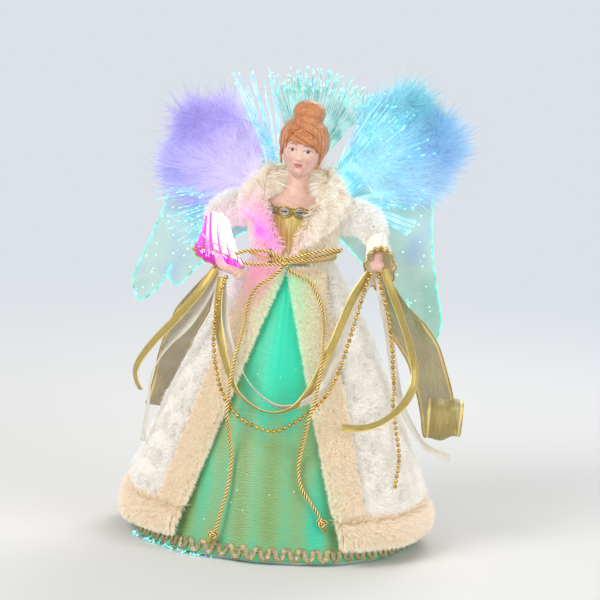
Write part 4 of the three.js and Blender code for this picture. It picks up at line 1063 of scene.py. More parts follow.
def knot_and_tuft(name, route, seed):
    chance = random.Random(seed)
    end = route[-1]
    onward = (route[-1] - route[-4]).normalized()
    hairs = []
    for _ in range(TUFT_HAIRS):
        spread = Vector([chance.uniform(-1, 1) for _ in range(3)])
        tip = end + onward * chance.uniform(5, 8) * MM + spread * 1.6 * MM
        hairs.append([end, end.lerp(tip, 0.5) + spread * 0.5 * MM, tip])
    tuft = swept(name + " tuft", hairs, 0.16 * MM, 3, gold_thread)
    knot = twisted(name + " knot", [smooth_route(knot_path(end, 2.7 * MM), CORD_STEP)])
    return settle(joined(name + " knot and tuft", [knot, tuft]), FIGURE, "gold_cord")


for side, points in (("left", left_tail), ("right", right_tail)):
    route = smooth_route(points, CORD_STEP)
    tail = settle(twisted(f"hanging cord {side}", [route]), FIGURE, "gold_cord", f"cord_tail_{side}")
    knot = knot_and_tuft(f"hanging cord {side}", route, 21)
    hang_cord(tail, route, CORD_THICK, "knot", with_pieces=[knot])


# %% [markdown]
# The bead chain is a fine thread with metallised plastic beads moulded on it at an even pitch. A tree
# sets a small ball at each step of the path and sweeps the thread through them.

# %% Bead chain
BEAD = 3 * MM
BEAD_PITCH = 4 * MM
BEAD_THREAD = 0.3 * MM


def bead_tree():
    tree, given = new_tree("bead chain", Bead="Float", Pitch="Float", Thread="Float", Material="Material")
    path = curve_of(tree, given["Geometry"])
    spaced = add(tree, "GeometryNodeResampleCurve", {"Curve": path, "Length": given["Pitch"]}, mode="LENGTH")
    half_bead = maths(tree, "MULTIPLY", given["Bead"], 0.5)
    ball = add(tree, "GeometryNodeMeshUVSphere", {"Segments": 10, "Rings": 7, "Radius": half_bead})
    strung = {"Points": spaced.outputs[0], "Instance": ball.outputs[0]}
    beads = add(tree, "GeometryNodeInstanceOnPoints", strung)
    both = add(tree, "GeometryNodeJoinGeometry", {0: beads.outputs[0]})
    tree.links.new(tube(tree, path, circle(tree, 5, given["Thread"])), both.inputs[0])
    return close_tree(tree, both.outputs[0], given["Material"])


beading = bead_tree()
bead_gold = grained(
    "metallised gold bead", 2.5 * MM, 3.0, (0.35, "#a37a2c"), (0.6, "#dcb65a"), Metallic=1.0, Roughness=0.22,
)
garland = at((-37.5, -60.8, 191), (-41, -66, 177), (-42.5, -67.5, 162), (-42.5, -67, 146)) + on_skirt(
    (-38, 124, 9.5), (-31, 111, 9), (-23, 103, 9), (-17, 98.5, 9), (-10, 95.5, 9), (-1, 93, 9),
    (7, 92, 9), (18, 97, 9), (27, 104, 9), (35, 111, 9), (39.5, 117, 9), (45, 130, 9.5),
) + at((49, -58, 146), (52.5, -54, 162), (56, -51.5, 178), (58, -50, 189), (61.5, -48.5, 200.5))
bead_tail = at(
    (65.8, -45.6, 202.3), (70.5, -48.4, 188), (75, -42, 172), (77.5, -32, 154), (79.5, -26, 134),
    (81, -22.5, 116), (81.5, -23, 104), (85, -28, 89), (88, -32, 78), (89.5, -36, 71), (90, -42, 64),
    (89.5, -51, 53),
)
for node, points, far_end in (("bead_garland", garland, "object"), ("bead_tail", bead_tail, "bare")):
    route = smooth_route(points, 1 * MM)
    chain = run_along(
        node + " beads", [route], beading, Bead=BEAD, Pitch=BEAD_PITCH, Thread=BEAD_THREAD,
        Material=bead_gold,
    )
    settle(chain, FIGURE, "gold_bead", node)
    hang_cord(chain, route, BEAD, far_end)


# %% [markdown]
# Ribbons are flat cords. A quarter-inch satin ribbon and a gold one run together from hand to hand and
# down each side. Each is a thin closed strip with a slight curl across it and a map of its own: u across
# the ribbon, v along it, both in metres, so that the weave can follow the cloth.

# %% Strips along a route
def facing(here, along):
    return along.cross(Vector((0.4 * here.x, here.y, 0)).normalized())


def face_outwards(work):
    bmesh.ops.recalc_face_normals(work, faces=work.faces)


def flat(t):
    return 0.0


def strip_piece(name, route, side_of, width_of, across, thickness, wave, twist=flat):
    """A closed thin strip: a grid on each face, joined along its edges and ends."""
    rows = len(route)
    walked = [0.0]
    for a, b in zip(route, route[1:]):
        walked.append(walked[-1] + (b - a).length)
    verts, places = [], []
    for sign in (1, -1):
        for i, here in enumerate(route):
            along = (route[min(i + 1, rows - 1)] - route[max(i - 1, 0)]).normalized()
            side = side_of(here, along)
            side = (side - along * side.dot(along)).normalized()
            side.rotate(Matrix.Rotation(twist(walked[i] / walked[-1]), 3, along))
            face = along.cross(side)
            width = width_of(walked[i] / walked[-1])
            for j in range(across + 1):
                s = j / across - 0.5
                lift = wave(s, walked[i]) + sign * thickness / 2
                verts.append(here + side * (s * width) + face * lift)
                places.append((s * width, walked[i]))
    span = across + 1
    back = rows * span
    last = back - span
    faces = []
    for i in range(rows - 1):
        for a in range(i * span, i * span + across):
            faces.append((a, a + 1, a + span + 1, a + span))
            faces.append((back + a, back + a + span, back + a + span + 1, back + a + 1))
        for a, order in ((i * span, 1), (i * span + across, -1)):
            faces.append((a, a + span, back + a + span, back + a)[::order])
    for j in range(across):
        faces.append((j + 1, j, back + j, back + j + 1))
        faces.append((last + j, last + j + 1, back + last + j + 1, back + last + j))
    made = new_piece(name, verts, faces)
    layer = made.data.uv_layers.new(name="cloth")
    layer.data.foreach_set("uv", [value for loop in made.data.loops for value in places[loop.vertex_index]])
    return smooth(edited(made, face_outwards))


# %% Satin, gold and organza ribbon
def ribbon_material(name, edge, middle, dark, metallic, roughness, half_width, thread, cover=1.0):
    """Woven ribbon: warp threads run along it, and a bound edge shows as a brighter line."""
    material, tree, shader = surface(
        name, Metallic=metallic, Roughness=roughness, Sheen_Weight=0.3, Anisotropic=0.5,
    )
    cloth = add(tree, "ShaderNodeUVMap").outputs[0]
    off = maths(tree, "ABSOLUTE", add(tree, "ShaderNodeSeparateXYZ", {0: cloth}).outputs[0])
    rim = maths(tree, "GREATER_THAN", maths(tree, "DIVIDE", off, half_width), 0.84)
    stretch = add(tree, "ShaderNodeMapping", {"Vector": cloth, "Scale": (1 / thread, 0.06 / thread, 1)})
    warp = grain(tree, stretch.outputs[0], 1.0, 2.0)
    body = ramp(tree, warp, (0.3, dark), (0.65, middle))
    wire(shader, Base_Color=blend(tree, rim, body, paint(edge)), Alpha=maths(tree, "MAXIMUM", rim, cover))
    relief(shader, warp, 0.08 * MM, 0.5)
    return material


RIBBON = 6 * MM
ORGANZA = 25 * MM
satin = ribbon_material(
    "ivory polyester satin", "#e9e1cf", "#f3eddf", "#d3c8b2", 0.0, 0.3, RIBBON / 2, 0.35 * MM,
)
gold_ribbon = ribbon_material(
    "gold metallic ribbon", "#f3de8e", "#cdb560", "#a58b45", 0.35, 0.36, RIBBON / 2, 0.4 * MM, 0.88,
)
organza = ribbon_material(
    "olive-gold organza", "#e6d08a", "#bba862", "#94813f", 0.2, 0.42, ORGANZA / 2, 0.6 * MM, 0.6,
)

# %% Six narrow ribbons
satin_swag = at((-41.5, -55, 191.1), (-38.5, -58, 175), (-35, -60.5, 156)) + on_skirt(
    (-27, 137, 4.7), (-18, 125, 4.7), (-10, 117, 4.7), (-1, 111, 4.7), (8, 107.5, 4.7), (18, 108, 4.7),
    (28, 113, 4.7), (36, 121, 4.7), (40, 133, 4.7),
) + at((45, -49.5, 149), (50, -45, 167), (55.5, -43.5, 184), (63, -43.6, 200.5))
gold_swag = at((-41.5, -57.8, 190.5), (-42, -62, 174), (-39.5, -64.5, 153)) + on_skirt(
    (-25, 118, 6.6), (-15, 109.5, 6.6), (-2, 104, 6.6), (9, 104, 6.6), (19, 108.5, 6.6), (27, 118, 6.6),
    (32, 128, 6.6), (36, 140, 7.2),
) + at((41, -57, 154), (46, -53, 170), (51.5, -50, 185), (60.5, -46.5, 201))
satin_tail_left = at(
    (-44, -50.4, 194), (-50.5, -50.5, 178), (-64, -46.5, 154), (-76, -43, 140), (-83, -41, 129),
    (-88, -39, 118), (-90, -37, 110), (-91, -35, 97), (-92, -33.5, 85), (-94, -31.5, 65),
)
gold_tail_left = at(
    (-47.2, -51.6, 195.3), (-57, -54.5, 178), (-73, -51, 157), (-88, -47.5, 139), (-98, -43, 124),
    (-101, -40, 115), (-99.5, -38, 107), (-97, -36.5, 102),
)
satin_tail_right = at(
    (66, -43, 201), (69, -42, 188), (71.5, -36, 174), (75, -27, 156), (78.5, -20, 136), (83, -15.5, 115),
    (89, -12, 98), (96, -9, 86), (104, -6, 75), (113, -3, 70), (122, 2, 66),
)
gold_tail_right = at(
    (69.5, -44, 204.3), (77, -42, 187), (83, -35, 171), (88, -27, 156), (92.5, -21, 140), (95, -20.5, 128),
    (94, -26, 117), (90, -36, 109), (83, -47.5, 102), (74, -58, 97), (64, -67, 95), (52, -76, 96),
)
SATIN = (satin, "satin")
GOLD = (gold_ribbon, "gold_ribbon")


def curl(s, walked):
    return 0.5 * MM * (4 * s * s - 0.4) + 0.25 * MM * math.sin(walked / (9 * MM)) * s


def turned(degrees, middle, spread):
    """A ribbon shows its edge where it turns over: a smooth turn about its length and back."""
    return lambda t: math.radians(degrees) * bell(t - middle, spread)


for node, points, (cloth, slot), far_end, turning in (
    ("satin_swag", satin_swag, SATIN, "object", turned(72, 0.36, 0.2)),
    ("gold_swag", gold_swag, GOLD, "object", turned(66, 0.45, 0.16)),
    ("satin_tail_left", satin_tail_left, SATIN, "bare", turned(40, 0.6, 0.2)),
    ("gold_tail_left", gold_tail_left, GOLD, "bare", turned(0, 0.5, 0.2)),
    ("satin_tail_right", satin_tail_right, SATIN, "bare", turned(35, 0.5, 0.2)),
    ("gold_tail_right", gold_tail_right, GOLD, "bare", turned(60, 0.75, 0.3)),
):
    route = smooth_route(points, 1.5 * MM)
    ribbon = strip_piece(node + " ribbon", route, facing, lambda t: RIBBON, 6, 0.25 * MM, curl, turning)
    settle(ribbon, FIGURE, slot, node, finish=cloth)
    hang_cord(ribbon, route, RIBBON, far_end)

# %% Two wide organza ribbons with wired edges
organza_left = at(
    (-45, -45.8, 196.8), (-57, -34, 176), (-69, -16, 153), (-78, 2, 134), (-83, 19, 119), (-86, 33, 105),
    (-89, 39, 92), (-92, 41, 80), (-94, 42, 75),
)
organza_right = at(
    (67.5, -38.5, 200.5), (76, -27, 178), (87, -6, 156), (97, 8, 138), (103, 15, 120), (107, 20, 106),
    (110, 21, 93), (113, 12, 82), (116, -1, 81), (117, -8, 91), (117, -5, 103), (116, 4, 107),
)
ORGANZA_ACROSS = 16


def gathered(t):
    return RIBBON + (ORGANZA - RIBBON) * min(1, t / 0.3)


def puckers(s, walked):
    along = 1.3 * math.sin(walked / (5.5 * MM)) * math.cos(math.pi * s)
    across = 1.0 * math.sin(9 * s + walked / (14 * MM))
    return (along + across) * MM * min(1, walked / (25 * MM))


for side, points, way in (
    ("left", organza_left, Vector((0.9, 0.2, 0.3))),
    ("right", organza_right, Vector((0.95, 0.3, 0.1))),
):
    node = f"organza_{side}"
    route = smooth_route(points, 1.2 * MM)
    ribbon = strip_piece(
        node + " ribbon", route, lambda here, along: way.copy(), gathered, ORGANZA_ACROSS, 0.2 * MM, puckers,
    )
    settle(ribbon, FIGURE, "organza", node, finish=organza)
    span = ORGANZA_ACROSS + 1
    verts = ribbon.data.vertices
    edges = [[verts[i * span + j].co.copy() for i in range(len(route))] for j in (0, span - 1)]
    wires = settle(swept(node + " wires", edges, 0.4 * MM, 6, gold_thread), FIGURE, "gold_ribbon")
    length = route_length(route)
    print(node, round(length, 4), "m", count(ribbon), "triangles")


# %% [markdown]
# The head, neck and bust are moulded resin with a small painted doll's face of a plain, general kind.
# The head is an egg whose surface is raised and sunk by a few soft bumps: brow, sockets, nose, cheeks,
# lips and chin. The paint follows the same rule, in the point colour called paint. Distances are in
# millimetres from the middle of the head.

# %% Face relief and paint
HEAD_AT = Vector((0, -2, 279.6))
HEAD_HALF = Vector((14.5, 16, 19.5))
NECK_BASE = 238.6
NECK_TURN = 12
TILT = Matrix.Rotation(math.radians(5), 3, "Y")
TILT_AT = Vector((0, 0, NECK_BASE + NECK_TURN))
EYE_X, EYE_Z = 5.6, -1.6
MOUTH_Z = -11.85
SKIN, SHADED_SKIN = "#efcbbc", "#eac4b4"


def tilted(point):
    return (TILT @ (point - TILT_AT) + TILT_AT) * MM


def face_relief(x, z):
    far = abs(x)
    eye = far - EYE_X
    ridge = min(1, max(0, (1 - z) / 8.5))
    nose = 2.7 * ridge ** 1.3 * bell(x, 1.3 + ridge) if z > -7.5 else 2.7 * bell(x, 2.3) * bell(z + 7.5, 1.0)
    nose += 0.6 * bell(far - 1.9, 0.9) * bell(z + 7.2, 1.0)
    sockets = -1.4 * bell(eye, 3.0) * bell(z + 1.2, 2.4) + 1.1 * bell(eye, 2.2) * bell(z - EYE_Z, 1.4)
    brow = 0.5 * bell(eye, 3.2) * bell(z - 2.6, 1.2)
    cheeks = 1.0 * bell(far - 7.2, 3.6) * bell(z + 8, 3.6)
    lips = 0.9 * bell(x, 2.6) * bell(z + 11, 0.75) + bell(x, 2.1) * bell(z + 12.7, 0.85)
    lips -= 0.6 * bell(x, 2.9) * bell(z - MOUTH_Z, 0.35)
    chin = 1.3 * bell(x, 3.4) * bell(z + 18, 2.6) - 0.6 * bell(x, 3) * bell(z + 14.6, 0.9)
    return nose + sockets + brow + cheeks + lips + chin


def face_paint(x, z):
    eye = abs(x) - EYE_X
    lid = (eye / 2.6) ** 2 + ((z - EYE_Z) / 1.0) ** 2
    iris = math.hypot(eye, z - EYE_Z - 0.1)
    if lid < 1:
        return "#2a201b" if iris < 0.6 else "#5f6c50" if iris < 1.3 else "#ebe3da"
    if lid < 1.8 and z > EYE_Z + 0.2:
        return "#5b3c2e"
    if abs(eye + 0.2) < 3.1 and abs(z - 2.2 - 0.06 * (9 - eye * eye)) < 0.4:
        return "#b98a6c"
    bow = 2.9 - 0.16 * x * x
    over = z - MOUTH_Z
    if abs(x) < 3 and (0 < -over < 0.55 * bow or 0 <= over < 0.5 * bow - 0.25 * bell(x, 0.6)):
        return "#cf7d7c"
    return SKIN


def blush(x, z):
    return 0.5 * bell(abs(x) - 7.4, 3.4) * bell(z + 7.6, 3.0)


# %% Head, neck and bust
HEAD_COLUMNS, HEAD_ROWS, NECK_COLUMNS = 200, 180, 56
NECK_SECTIONS = (
    (-1.2, 25, 18.6), (0.8, 22.5, 16.6), (4, 16, 12.8), (7.5, 10.6, 9.8), (12, 8, 8), (20, 7.5, 7.5),
    (28, 7.6, 7.6),
)


def make_head():
    verts, colours = [], []
    for i in range(HEAD_ROWS + 1):
        rise = math.pi * (i / HEAD_ROWS - 0.5)
        jaw = max(0, -math.sin(rise))
        for j in range(HEAD_COLUMNS):
            turn = TURN * j / HEAD_COLUMNS - math.pi
            turn -= 0.6 * math.sin(turn)
            unit = Vector((math.sin(turn) * math.cos(rise), -math.cos(turn) * math.cos(rise), math.sin(rise)))
            x, y, z = Vector(a * b for a, b in zip(unit, HEAD_HALF))
            narrow, long = 1 - 0.26 * jaw * jaw, 1 + 0.17 * jaw
            place = Vector((x * narrow, y * (1 - 0.15 * jaw) - 2.5 * jaw, z * long))
            front = max(0, -unit.y) ** 1.2
            place += Vector((0.3 * unit.x, -1, 0.2 * unit.z)) * face_relief(place.x, place.z) * front
            verts.append(tilted(HEAD_AT + place))
            skin = Vector(paint(face_paint(place.x, place.z) if front > 0.05 else SKIN))
            colours.extend(skin.lerp(Vector(paint("#e2938c")), blush(place.x, place.z) * front))
    around, start = NECK_COLUMNS, len(verts)
    rings = smooth_route([Vector(section) for section in NECK_SECTIONS], 0.9)
    for rise, wide, deep in rings:
        back = -1 + 1.5 * rise / NECK_SECTIONS[-1][0]
        for j in range(around):
            angle = TURN * j / around
            here = Vector((wide * math.sin(angle), back - deep * math.cos(angle), NECK_BASE + rise))
            verts.append(tilted(here) if rise > NECK_TURN else here * MM)
            colours.extend(paint(SHADED_SKIN))
    faces = tube_faces(HEAD_ROWS, HEAD_COLUMNS) + tube_faces(len(rings) - 1, around, start)
    faces.append(tuple(start + around - 1 - j for j in range(around)))
    faces.append(tuple(start + (len(rings) - 1) * around + j for j in range(around)))
    made = new_piece("head and bust", verts, faces)
    attach(made, "paint", "FLOAT_COLOR", colours)
    return smooth(made)


def resin_material():
    """Matt painted resin: the painted colour with faint mottling and a soft skin-like depth."""
    material, tree, shader = surface(
        "painted resin", Roughness=0.42, Subsurface_Weight=0.12, Subsurface_Scale=1.5 * MM,
        Subsurface_Radius=(1, 0.45, 0.3),
    )
    where = spot(tree)
    tint = ramp(tree, grain(tree, where, 4 * MM, 4.0), (0.3, "#f3e6e0"), (0.7, "#ffffff"))
    wire(shader, Base_Color=blend(tree, 1.0, mark(tree, "paint", "Color"), tint, blend_type="MULTIPLY"))
    relief(shader, grain(tree, where, 0.5 * MM, 2.0), 0.04 * MM, 0.4)
    return material


resin = resin_material()
head = settle(make_head(), FIGURE, "skin", "head_bust", finish=resin)
print("head", count(head), "triangles")


# %% [markdown]
# The hair is an updo: swept up from the face and neck to a bun on the crown. The form comes from the
# frame's solid. Combed grooves run up towards the bun, and a few thicker locks lie across the brow.

# %% Hair
BUN_AT = HEAD_AT + Vector((0, 5, 23.5))
LOCKS = (
    ([(-7, -12.6, 14.5), (-10.5, -12.4, 9.5), (-13.4, -9.5, 4), (-15, -5, -4)], 6.5),
    ([(-7, -10.5, 17.5), (0, -13, 16.3), (8, -12.4, 13.2), (13, -9, 7.5), (15.8, -4, 1)], 7.0),
    ([(-9, -11.8, 15), (-3, -15.4, 12), (4, -16, 9), (10, -13.6, 5), (14.4, -8.5, -2)], 7.0),
    ([(-10, -11.4, 13), (-5, -15.2, 9.6), (1, -16.9, 7.2), (7, -15.8, 5), (12.4, -11.6, 0.5)], 6.0),
    ([(-10.5, -11.8, 11), (-8.5, -14.6, 7.6), (-4.5, -16.6, 5.6), (0, -17.2, 5)], 4.0),
    ([(-1, -12.5, 17), (-8, -12.4, 13.5), (-13, -8.6, 8), (-15.8, -3.5, 2)], 6.5),
    ([(-14.6, -7.5, -1), (-14.8, -6, -6), (-14, -6.8, -10.5), (-13.4, -8, -13)], 2.2),
    ([(14.4, -7.5, -1), (14.6, -6, -6), (13.8, -6.8, -10), (13.2, -8, -12.5)], 2.2),
)


def hair_material():
    """Auburn fibre: fine dark and light streaks along the comb, carried by the attribute streak."""
    material, tree, shader = surface(
        "auburn doll hair", Roughness=0.38, Specular_IOR_Level=0.4, Sheen_Weight=0.2,
    )
    mixed = maths(tree, "MULTIPLY_ADD", grain(tree, spot(tree), 6 * MM, 3.0), 0.5, mark(tree, "streak"))
    wire(shader, Base_Color=ramp(tree, mixed, (0.15, "#8f4f28"), (0.5, "#c97f4b"), (0.95, "#efba8c")))
    return material


def streak_at(angle, turns):
    return 0.5 + 0.3 * math.sin(turns * angle) + 0.2 * math.sin(2.3 * turns * angle + 1.7)


def make_updo():
    form = cushion("hair", "hair form", 0.8 * MM, 0)
    axis = TILT @ Vector((0, 0, 1))
    middle = tilted(BUN_AT)
    streaks = []
    for vertex in form.data.vertices:
        spoke = vertex.co - middle
        angle = math.atan2(spoke.x, -spoke.y)
        height = spoke.dot(axis) / MM
        # One streak value sinks the combed grooves and sets the tone, so the grooves carry painted shade and
        # the crests a paler painted highlight.
        streak = streak_at(angle + 0.09 * height if height > -9 else angle, 34)
        vertex.co += vertex.normal * (0.45 * streak - 0.2) * MM
        streaks.append(0.55 * streak)
    attach(form, "streak", "FLOAT", streaks)
    return form


def make_lock(name, places, widest):
    """A flat tapering lock through points given from the middle of the head."""
    route = smooth_route([tilted(HEAD_AT + Vector(place)) for place in places], 0.5 * MM)
    lock = strip_piece(
        name, route, lambda here, along: along.cross(here - tilted(HEAD_AT)),
        lambda t: widest * MM * (0.25 + 0.75 * math.sin(math.pi * min(1, 0.15 + 0.85 * t))), 10, 0.5 * MM,
        lambda s, walked: (1.1 - 4.4 * s * s) * MM + 0.14 * MM * math.sin(26 * s),
    )
    streaks = [0.55 * streak_at(uv.uv.x / MM, 6) for uv in lock.data.uv_layers[0].data]
    attach(lock, "streak", "FLOAT", streaks, "CORNER")
    return lock


auburn = hair_material()
updo = settle(make_updo(), FIGURE, "hair", "hair", finish=auburn)
for index, (places, widest) in enumerate(LOCKS):
    settle(make_lock(f"hair lock {index}", places, widest), FIGURE, "hair", finish=auburn)
print("hair", count(updo), "triangles")


# %% [markdown]
# Each hand is a closed fist on a wrist. Balls of different sizes mark palm, fingers and thumb, and a
# remesh draws one skin over them.

# %% Hands
def make_hand(name, route, thumb_side):
    work = bmesh.new()

    def ball(place, radius):
        bmesh.ops.create_icosphere(work, subdivisions=2, radius=radius * MM, matrix=Matrix.Translation(place))

    wrist = smooth_route(route, 1.2 * MM)
    for place in wrist:
        ball(place, 3.1)
    fore = (wrist[-1] - wrist[-3]).normalized()
    down = (Vector((0, 0, -1)) - fore * -fore.z).normalized()
    side = fore.cross(down)
    palm = route[-1]
    for across in (-2.4, -0.8, 0.8, 2.4):
        ball(palm + side * across * MM + down * 0.4 * MM, 2.7)
        knuckle = palm + (fore * 1.6 + side * across * 1.15 - down * 1.3) * MM
        for step in range(8):
            bend = math.radians(8 + 30 * step)
            ball(knuckle + (fore * 2.4 * math.sin(bend) + down * 2.4 * (1 - math.cos(bend))) * MM, 1.25)
    for step in range(6):
        thumb = palm + side * thumb_side * (3.6 - 0.45 * step) * MM
        ball(thumb + fore * (-1.5 + 1.0 * step) * MM + down * 1.2 * MM, 1.35)
    raw = new_piece(name + " raw", [], [])
    work.to_mesh(raw.data)
    work.free()
    raw.modifiers.new("skin", "REMESH").voxel_size = 0.45 * MM
    raw.modifiers.new("soften", "SMOOTH").iterations = 3
    hand = baked(raw, name)
    discard(raw)
    attach(hand, "paint", "FLOAT_COLOR", list(paint(SHADED_SKIN)) * len(hand.data.vertices))
    return smooth(hand)


left_arm = at((-54.5, -17.4, 220.9), (-49, -36, 209), (-42, -53, 198), (-29, -62, 195.5))
right_arm = at((60.9, -14.4, 218.7), (63, -25, 213), (64.5, -36, 209.5), (65, -46, 207))
for side, route, thumb in (("left", left_arm, 1), ("right", right_arm, -1)):
    hand = make_hand(f"doll hand {side}", route, thumb)
    settle(hand, FIGURE, "skin", f"hand_{side}", finish=resin)
    print("hand", side, count(hand), "triangles")


# %% [markdown]
# Gold lame fills the front of the bodice, with small vertical gathers, and a scalloped braid edges the
# neckline: oval loops, silver inside and gold outside.

# %% Bodice and neckline
BUST_WIDE, BUST_DEEP = 26.5, 20.4
NECKLINE_Z = 234.0
LOOPS = [0.41 * i for i in (-1.5, -0.5, 0.5, 1.5)]


def bodice_material():
    material, tree, shader = surface("gold lame", Metallic=0.25, Roughness=0.4, Sheen_Weight=0.2)
    squeeze = add(tree, "ShaderNodeMapping", {
        "Vector": spot(tree), "Scale": (1 / (1.6 * MM), 1 / (1.6 * MM), 1 / (14 * MM)),
    })
    gathers = grain(tree, squeeze.outputs[0], 1.0, 3.0)
    # The tone follows the gathers: painted shade in their hollows and a pale painted highlight on their
    # crests.
    wire(shader, Base_Color=ramp(tree, gathers, (0.3, "#cdb45c"), (0.55, "#ead888"), (0.75, "#f9f0c0")))
    relief(shader, gathers, 0.4 * MM, 0.7)
    return material


def braid_loop(middle, wide, tall):
    """One oval loop of the braid, as half sizes in millimetres about a point of the neckline."""
    points = []
    for i in range(28):
        turn = TURN * i / 28
        angle = middle + wide * math.sin(turn) / BUST_WIDE
        across, deep = (BUST_WIDE + 0.6) * math.sin(angle), (BUST_DEEP + 0.6) * math.cos(angle)
        points.append(Vector((across, -deep, NECKLINE_Z + 0.8 + tall * math.cos(turn))) * MM)
    return points


bodice = cushion("bodice", "lame bodice", 0.9 * MM, 0)
settle(bodice, FIGURE, "gold_lame", "bodice", finish=bodice_material())
silver_loops = [braid_loop(middle, 3.2, tall) for middle in LOOPS for tall in (2.5, 1.2)]
gold_loops = [braid_loop(middle, 4.7, 3.9) for middle in LOOPS]
neckline = joined("neckline gimp", [
    swept("silver loops", silver_loops, 0.6 * MM, 6, silver_thread, closed=True),
    swept("gold loops", gold_loops, 0.55 * MM, 6, gold_thread, closed=True),
])
settle(neckline, FIGURE, "gimp", "neckline_braid")
print("neckline", count(neckline), "triangles")


# %% [markdown]
# The cuffs are bells of thin cloth, gathered at the wrist. The left one has fibre ends inside it and
# glows white with a magenta shadow in each gather; the right one is ivory, with a faint painted glow.
# On both, painted light falls on one side and painted shade in each gather and towards the mouth.
# Both end in a band with gold edges.

# %% Cuff cloth
CUFF_COLUMNS, CUFF_ROWS, CUFF_GATHERS = 156, 30, 13
CUFF_BAND = (0.84, 1.0)


def cuff_cloth(name, dark, middle, light, strength):
    """Thin satin: the attribute glow gives its painted light and shade, in its colour as well as its
    emission, and a fine weave breaks up the surface.
    """
    material, tree, shader = surface(name, Roughness=0.5, Sheen_Weight=0.3, Emission_Strength=strength)
    weave = grain(tree, spot(tree), 0.9 * MM, 2.0)
    mixed = maths(tree, "MULTIPLY_ADD", weave, 0.3, mark(tree, "glow"))
    tone = ramp(tree, mixed, (0.15, dark), (0.5, middle), (0.9, light))
    wire(shader, Base_Color=tone, Emission_Color=tone)
    relief(shader, weave, 0.15 * MM, 0.5)
    return material


def gather_wave(t, angle):
    return math.sin(CUFF_GATHERS * angle + 1.5 * math.sin(2 * angle + 3 * t))


def cuff_point(shape, t, angle):
    root, root_a, root_b, mouth, mouth_a, mouth_b = shape
    flare = t * t / 2 + t / 2
    arms = root_a.lerp(mouth_a, flare) * math.cos(angle) + root_b.lerp(mouth_b, flare) * math.sin(angle)
    return root.lerp(mouth, t) + arms * (1 + (0.03 + 0.05 * t) * gather_wave(t, angle))


def make_cuff(name, shape, light_from, cloth):
    wrap = CUFF_COLUMNS
    verts, glows = [], []
    for i in range(CUFF_ROWS + 1):
        t = i / CUFF_ROWS
        for j in range(wrap):
            angle = TURN * j / wrap
            place = cuff_point(shape, t, angle)
            spoke = (place - shape[0].lerp(shape[3], t)).normalized()
            valley = 0.5 - 0.5 * gather_wave(t, angle)
            verts.append(place)
            # Painted light and shade: brighter on the side towards light_from, with painted shade in the
            # valley of each gather and towards the mouth.
            glows.append(0.56 + 0.42 * spoke.dot(light_from) - 0.4 * valley ** 3 - 0.3 * t * t)
    raw = new_piece(name + " raw", verts, tube_faces(CUFF_ROWS, wrap))
    attach(raw, "glow", "FLOAT", glows)
    area = sum(face.area for face in raw.data.polygons)
    cuff = thickened(raw, name, 0.45 * MM, cloth)
    edges = [[cuff_point(shape, t, TURN * j / wrap) for j in range(wrap)] for t in CUFF_BAND]
    band = swept(name + " band edges", edges, 0.55 * MM, 6, gold_thread, closed=True)
    return cuff, band, area, route_length(edges[1]), (shape[3] - shape[0]).length


left_shape = at(
    (-53, -17, 223), (9, -3, 1), (-1.5, -4.6, 7.5), (-45.5, -49, 201.5), (17, 1, -4.5), (0, -10.5, 7),
)
right_shape = at(
    (60.6, -13.8, 219.2), (6.2, 5, 0), (3.1, -3.9, 6.3), (66, -33, 202), (10.5, 2, 0), (0, -3, 14.5),
)
lit_satin = cuff_cloth("lit magenta satin", "#8a1f84", "#e838dc", "#ffffff", 1.25)
ivory_satin = cuff_cloth("ivory organza cuff", "#d8cdaa", "#ebe2c8", "#faf5e6", 0.12)
for side, shape, way, cloth, slot in (
    ("left", left_shape, Vector((0.75, -0.4, 0.5)), lit_satin, "cuff_lit"),
    ("right", right_shape, Vector((-0.2, -0.5, 0.8)), ivory_satin, "cuff_cloth"),
):
    cuff, band, area, around, length = make_cuff(f"cuff {side} cloth", shape, way, cloth)
    settle(cuff, FIGURE, slot, f"cuff_{side}")
    settle(band, FIGURE, slot)
    print("cuff", side, count(cuff), "triangles")


# %% [markdown]
# Optical fibres are clear strands that shine only at their cut ends. Each bundle is a set of bent paths
# swept thin, and each end gets a short bright stub. The random draws have a fixed seed, so a bundle
# grows the same way on every run.

# %% Fibres and their lit ends
FIBER = 0.22 * MM
STUB = 1.3 * MM


def fiber_material(name, dim, bright, strength):
    """A clear strand that leaks a little of the light it carries."""
    return grained(
        name, 9 * MM, 2.0, (0.35, dim), (0.65, bright), lit=True,
        Roughness=0.12, Transmission_Weight=0.4, Emission_Strength=strength,
    )


def light_material(name, dim, bright, strength):
    """A lit fibre end or light-carrying edge: brightness varies from place to place."""
    return grained(
        name, 5 * MM, 2.0, (0.35, dim), (0.62, bright), lit=True, Roughness=0.3, Emission_Strength=strength,
    )


clear_fiber = fiber_material("clear optical fibre", "#5fb9b4", "#bfeee8", 0.3)
wing_fiber = fiber_material("lit wing fibre", "#5cc8ee", "#c8f4ff", 0.5)
pink_fiber = fiber_material("lit cuff fibre", "#ff86f4", "#ffe0fd", 0.9)
teal_light = light_material("teal fibre end", "#0fae9a", "#7dffe6", 2.2)
blue_light = light_material("blue fibre end", "#2b7dff", "#a8dcff", 2.2)
green_light = light_material("green fibre end", "#1fbf6a", "#8effb4", 2.0)
pink_light = light_material("magenta fibre end", "#ff5bf2", "#ffd6fc", 2.4)


def fiber_bundle(name, body, paths, lights, strand, node):
    """Strands, plus one stub at each end in the given lights taken in turn."""
    settle(swept(name + " strands", paths, FIBER, 3, strand), body, "fiber", node)
    for index, light in enumerate(lights):
        ends = []
        for path in paths[index::len(lights)]:
            along = (path[-1] - path[-2]).normalized()
            ends.append([path[-1] - along * 0.2 * MM, path[-1] + along * STUB])
        settle(swept(f"{name} ends {index}", ends, 1.6 * FIBER, 5, light), body, "fiber")
    print(name, len(paths), "fibres")


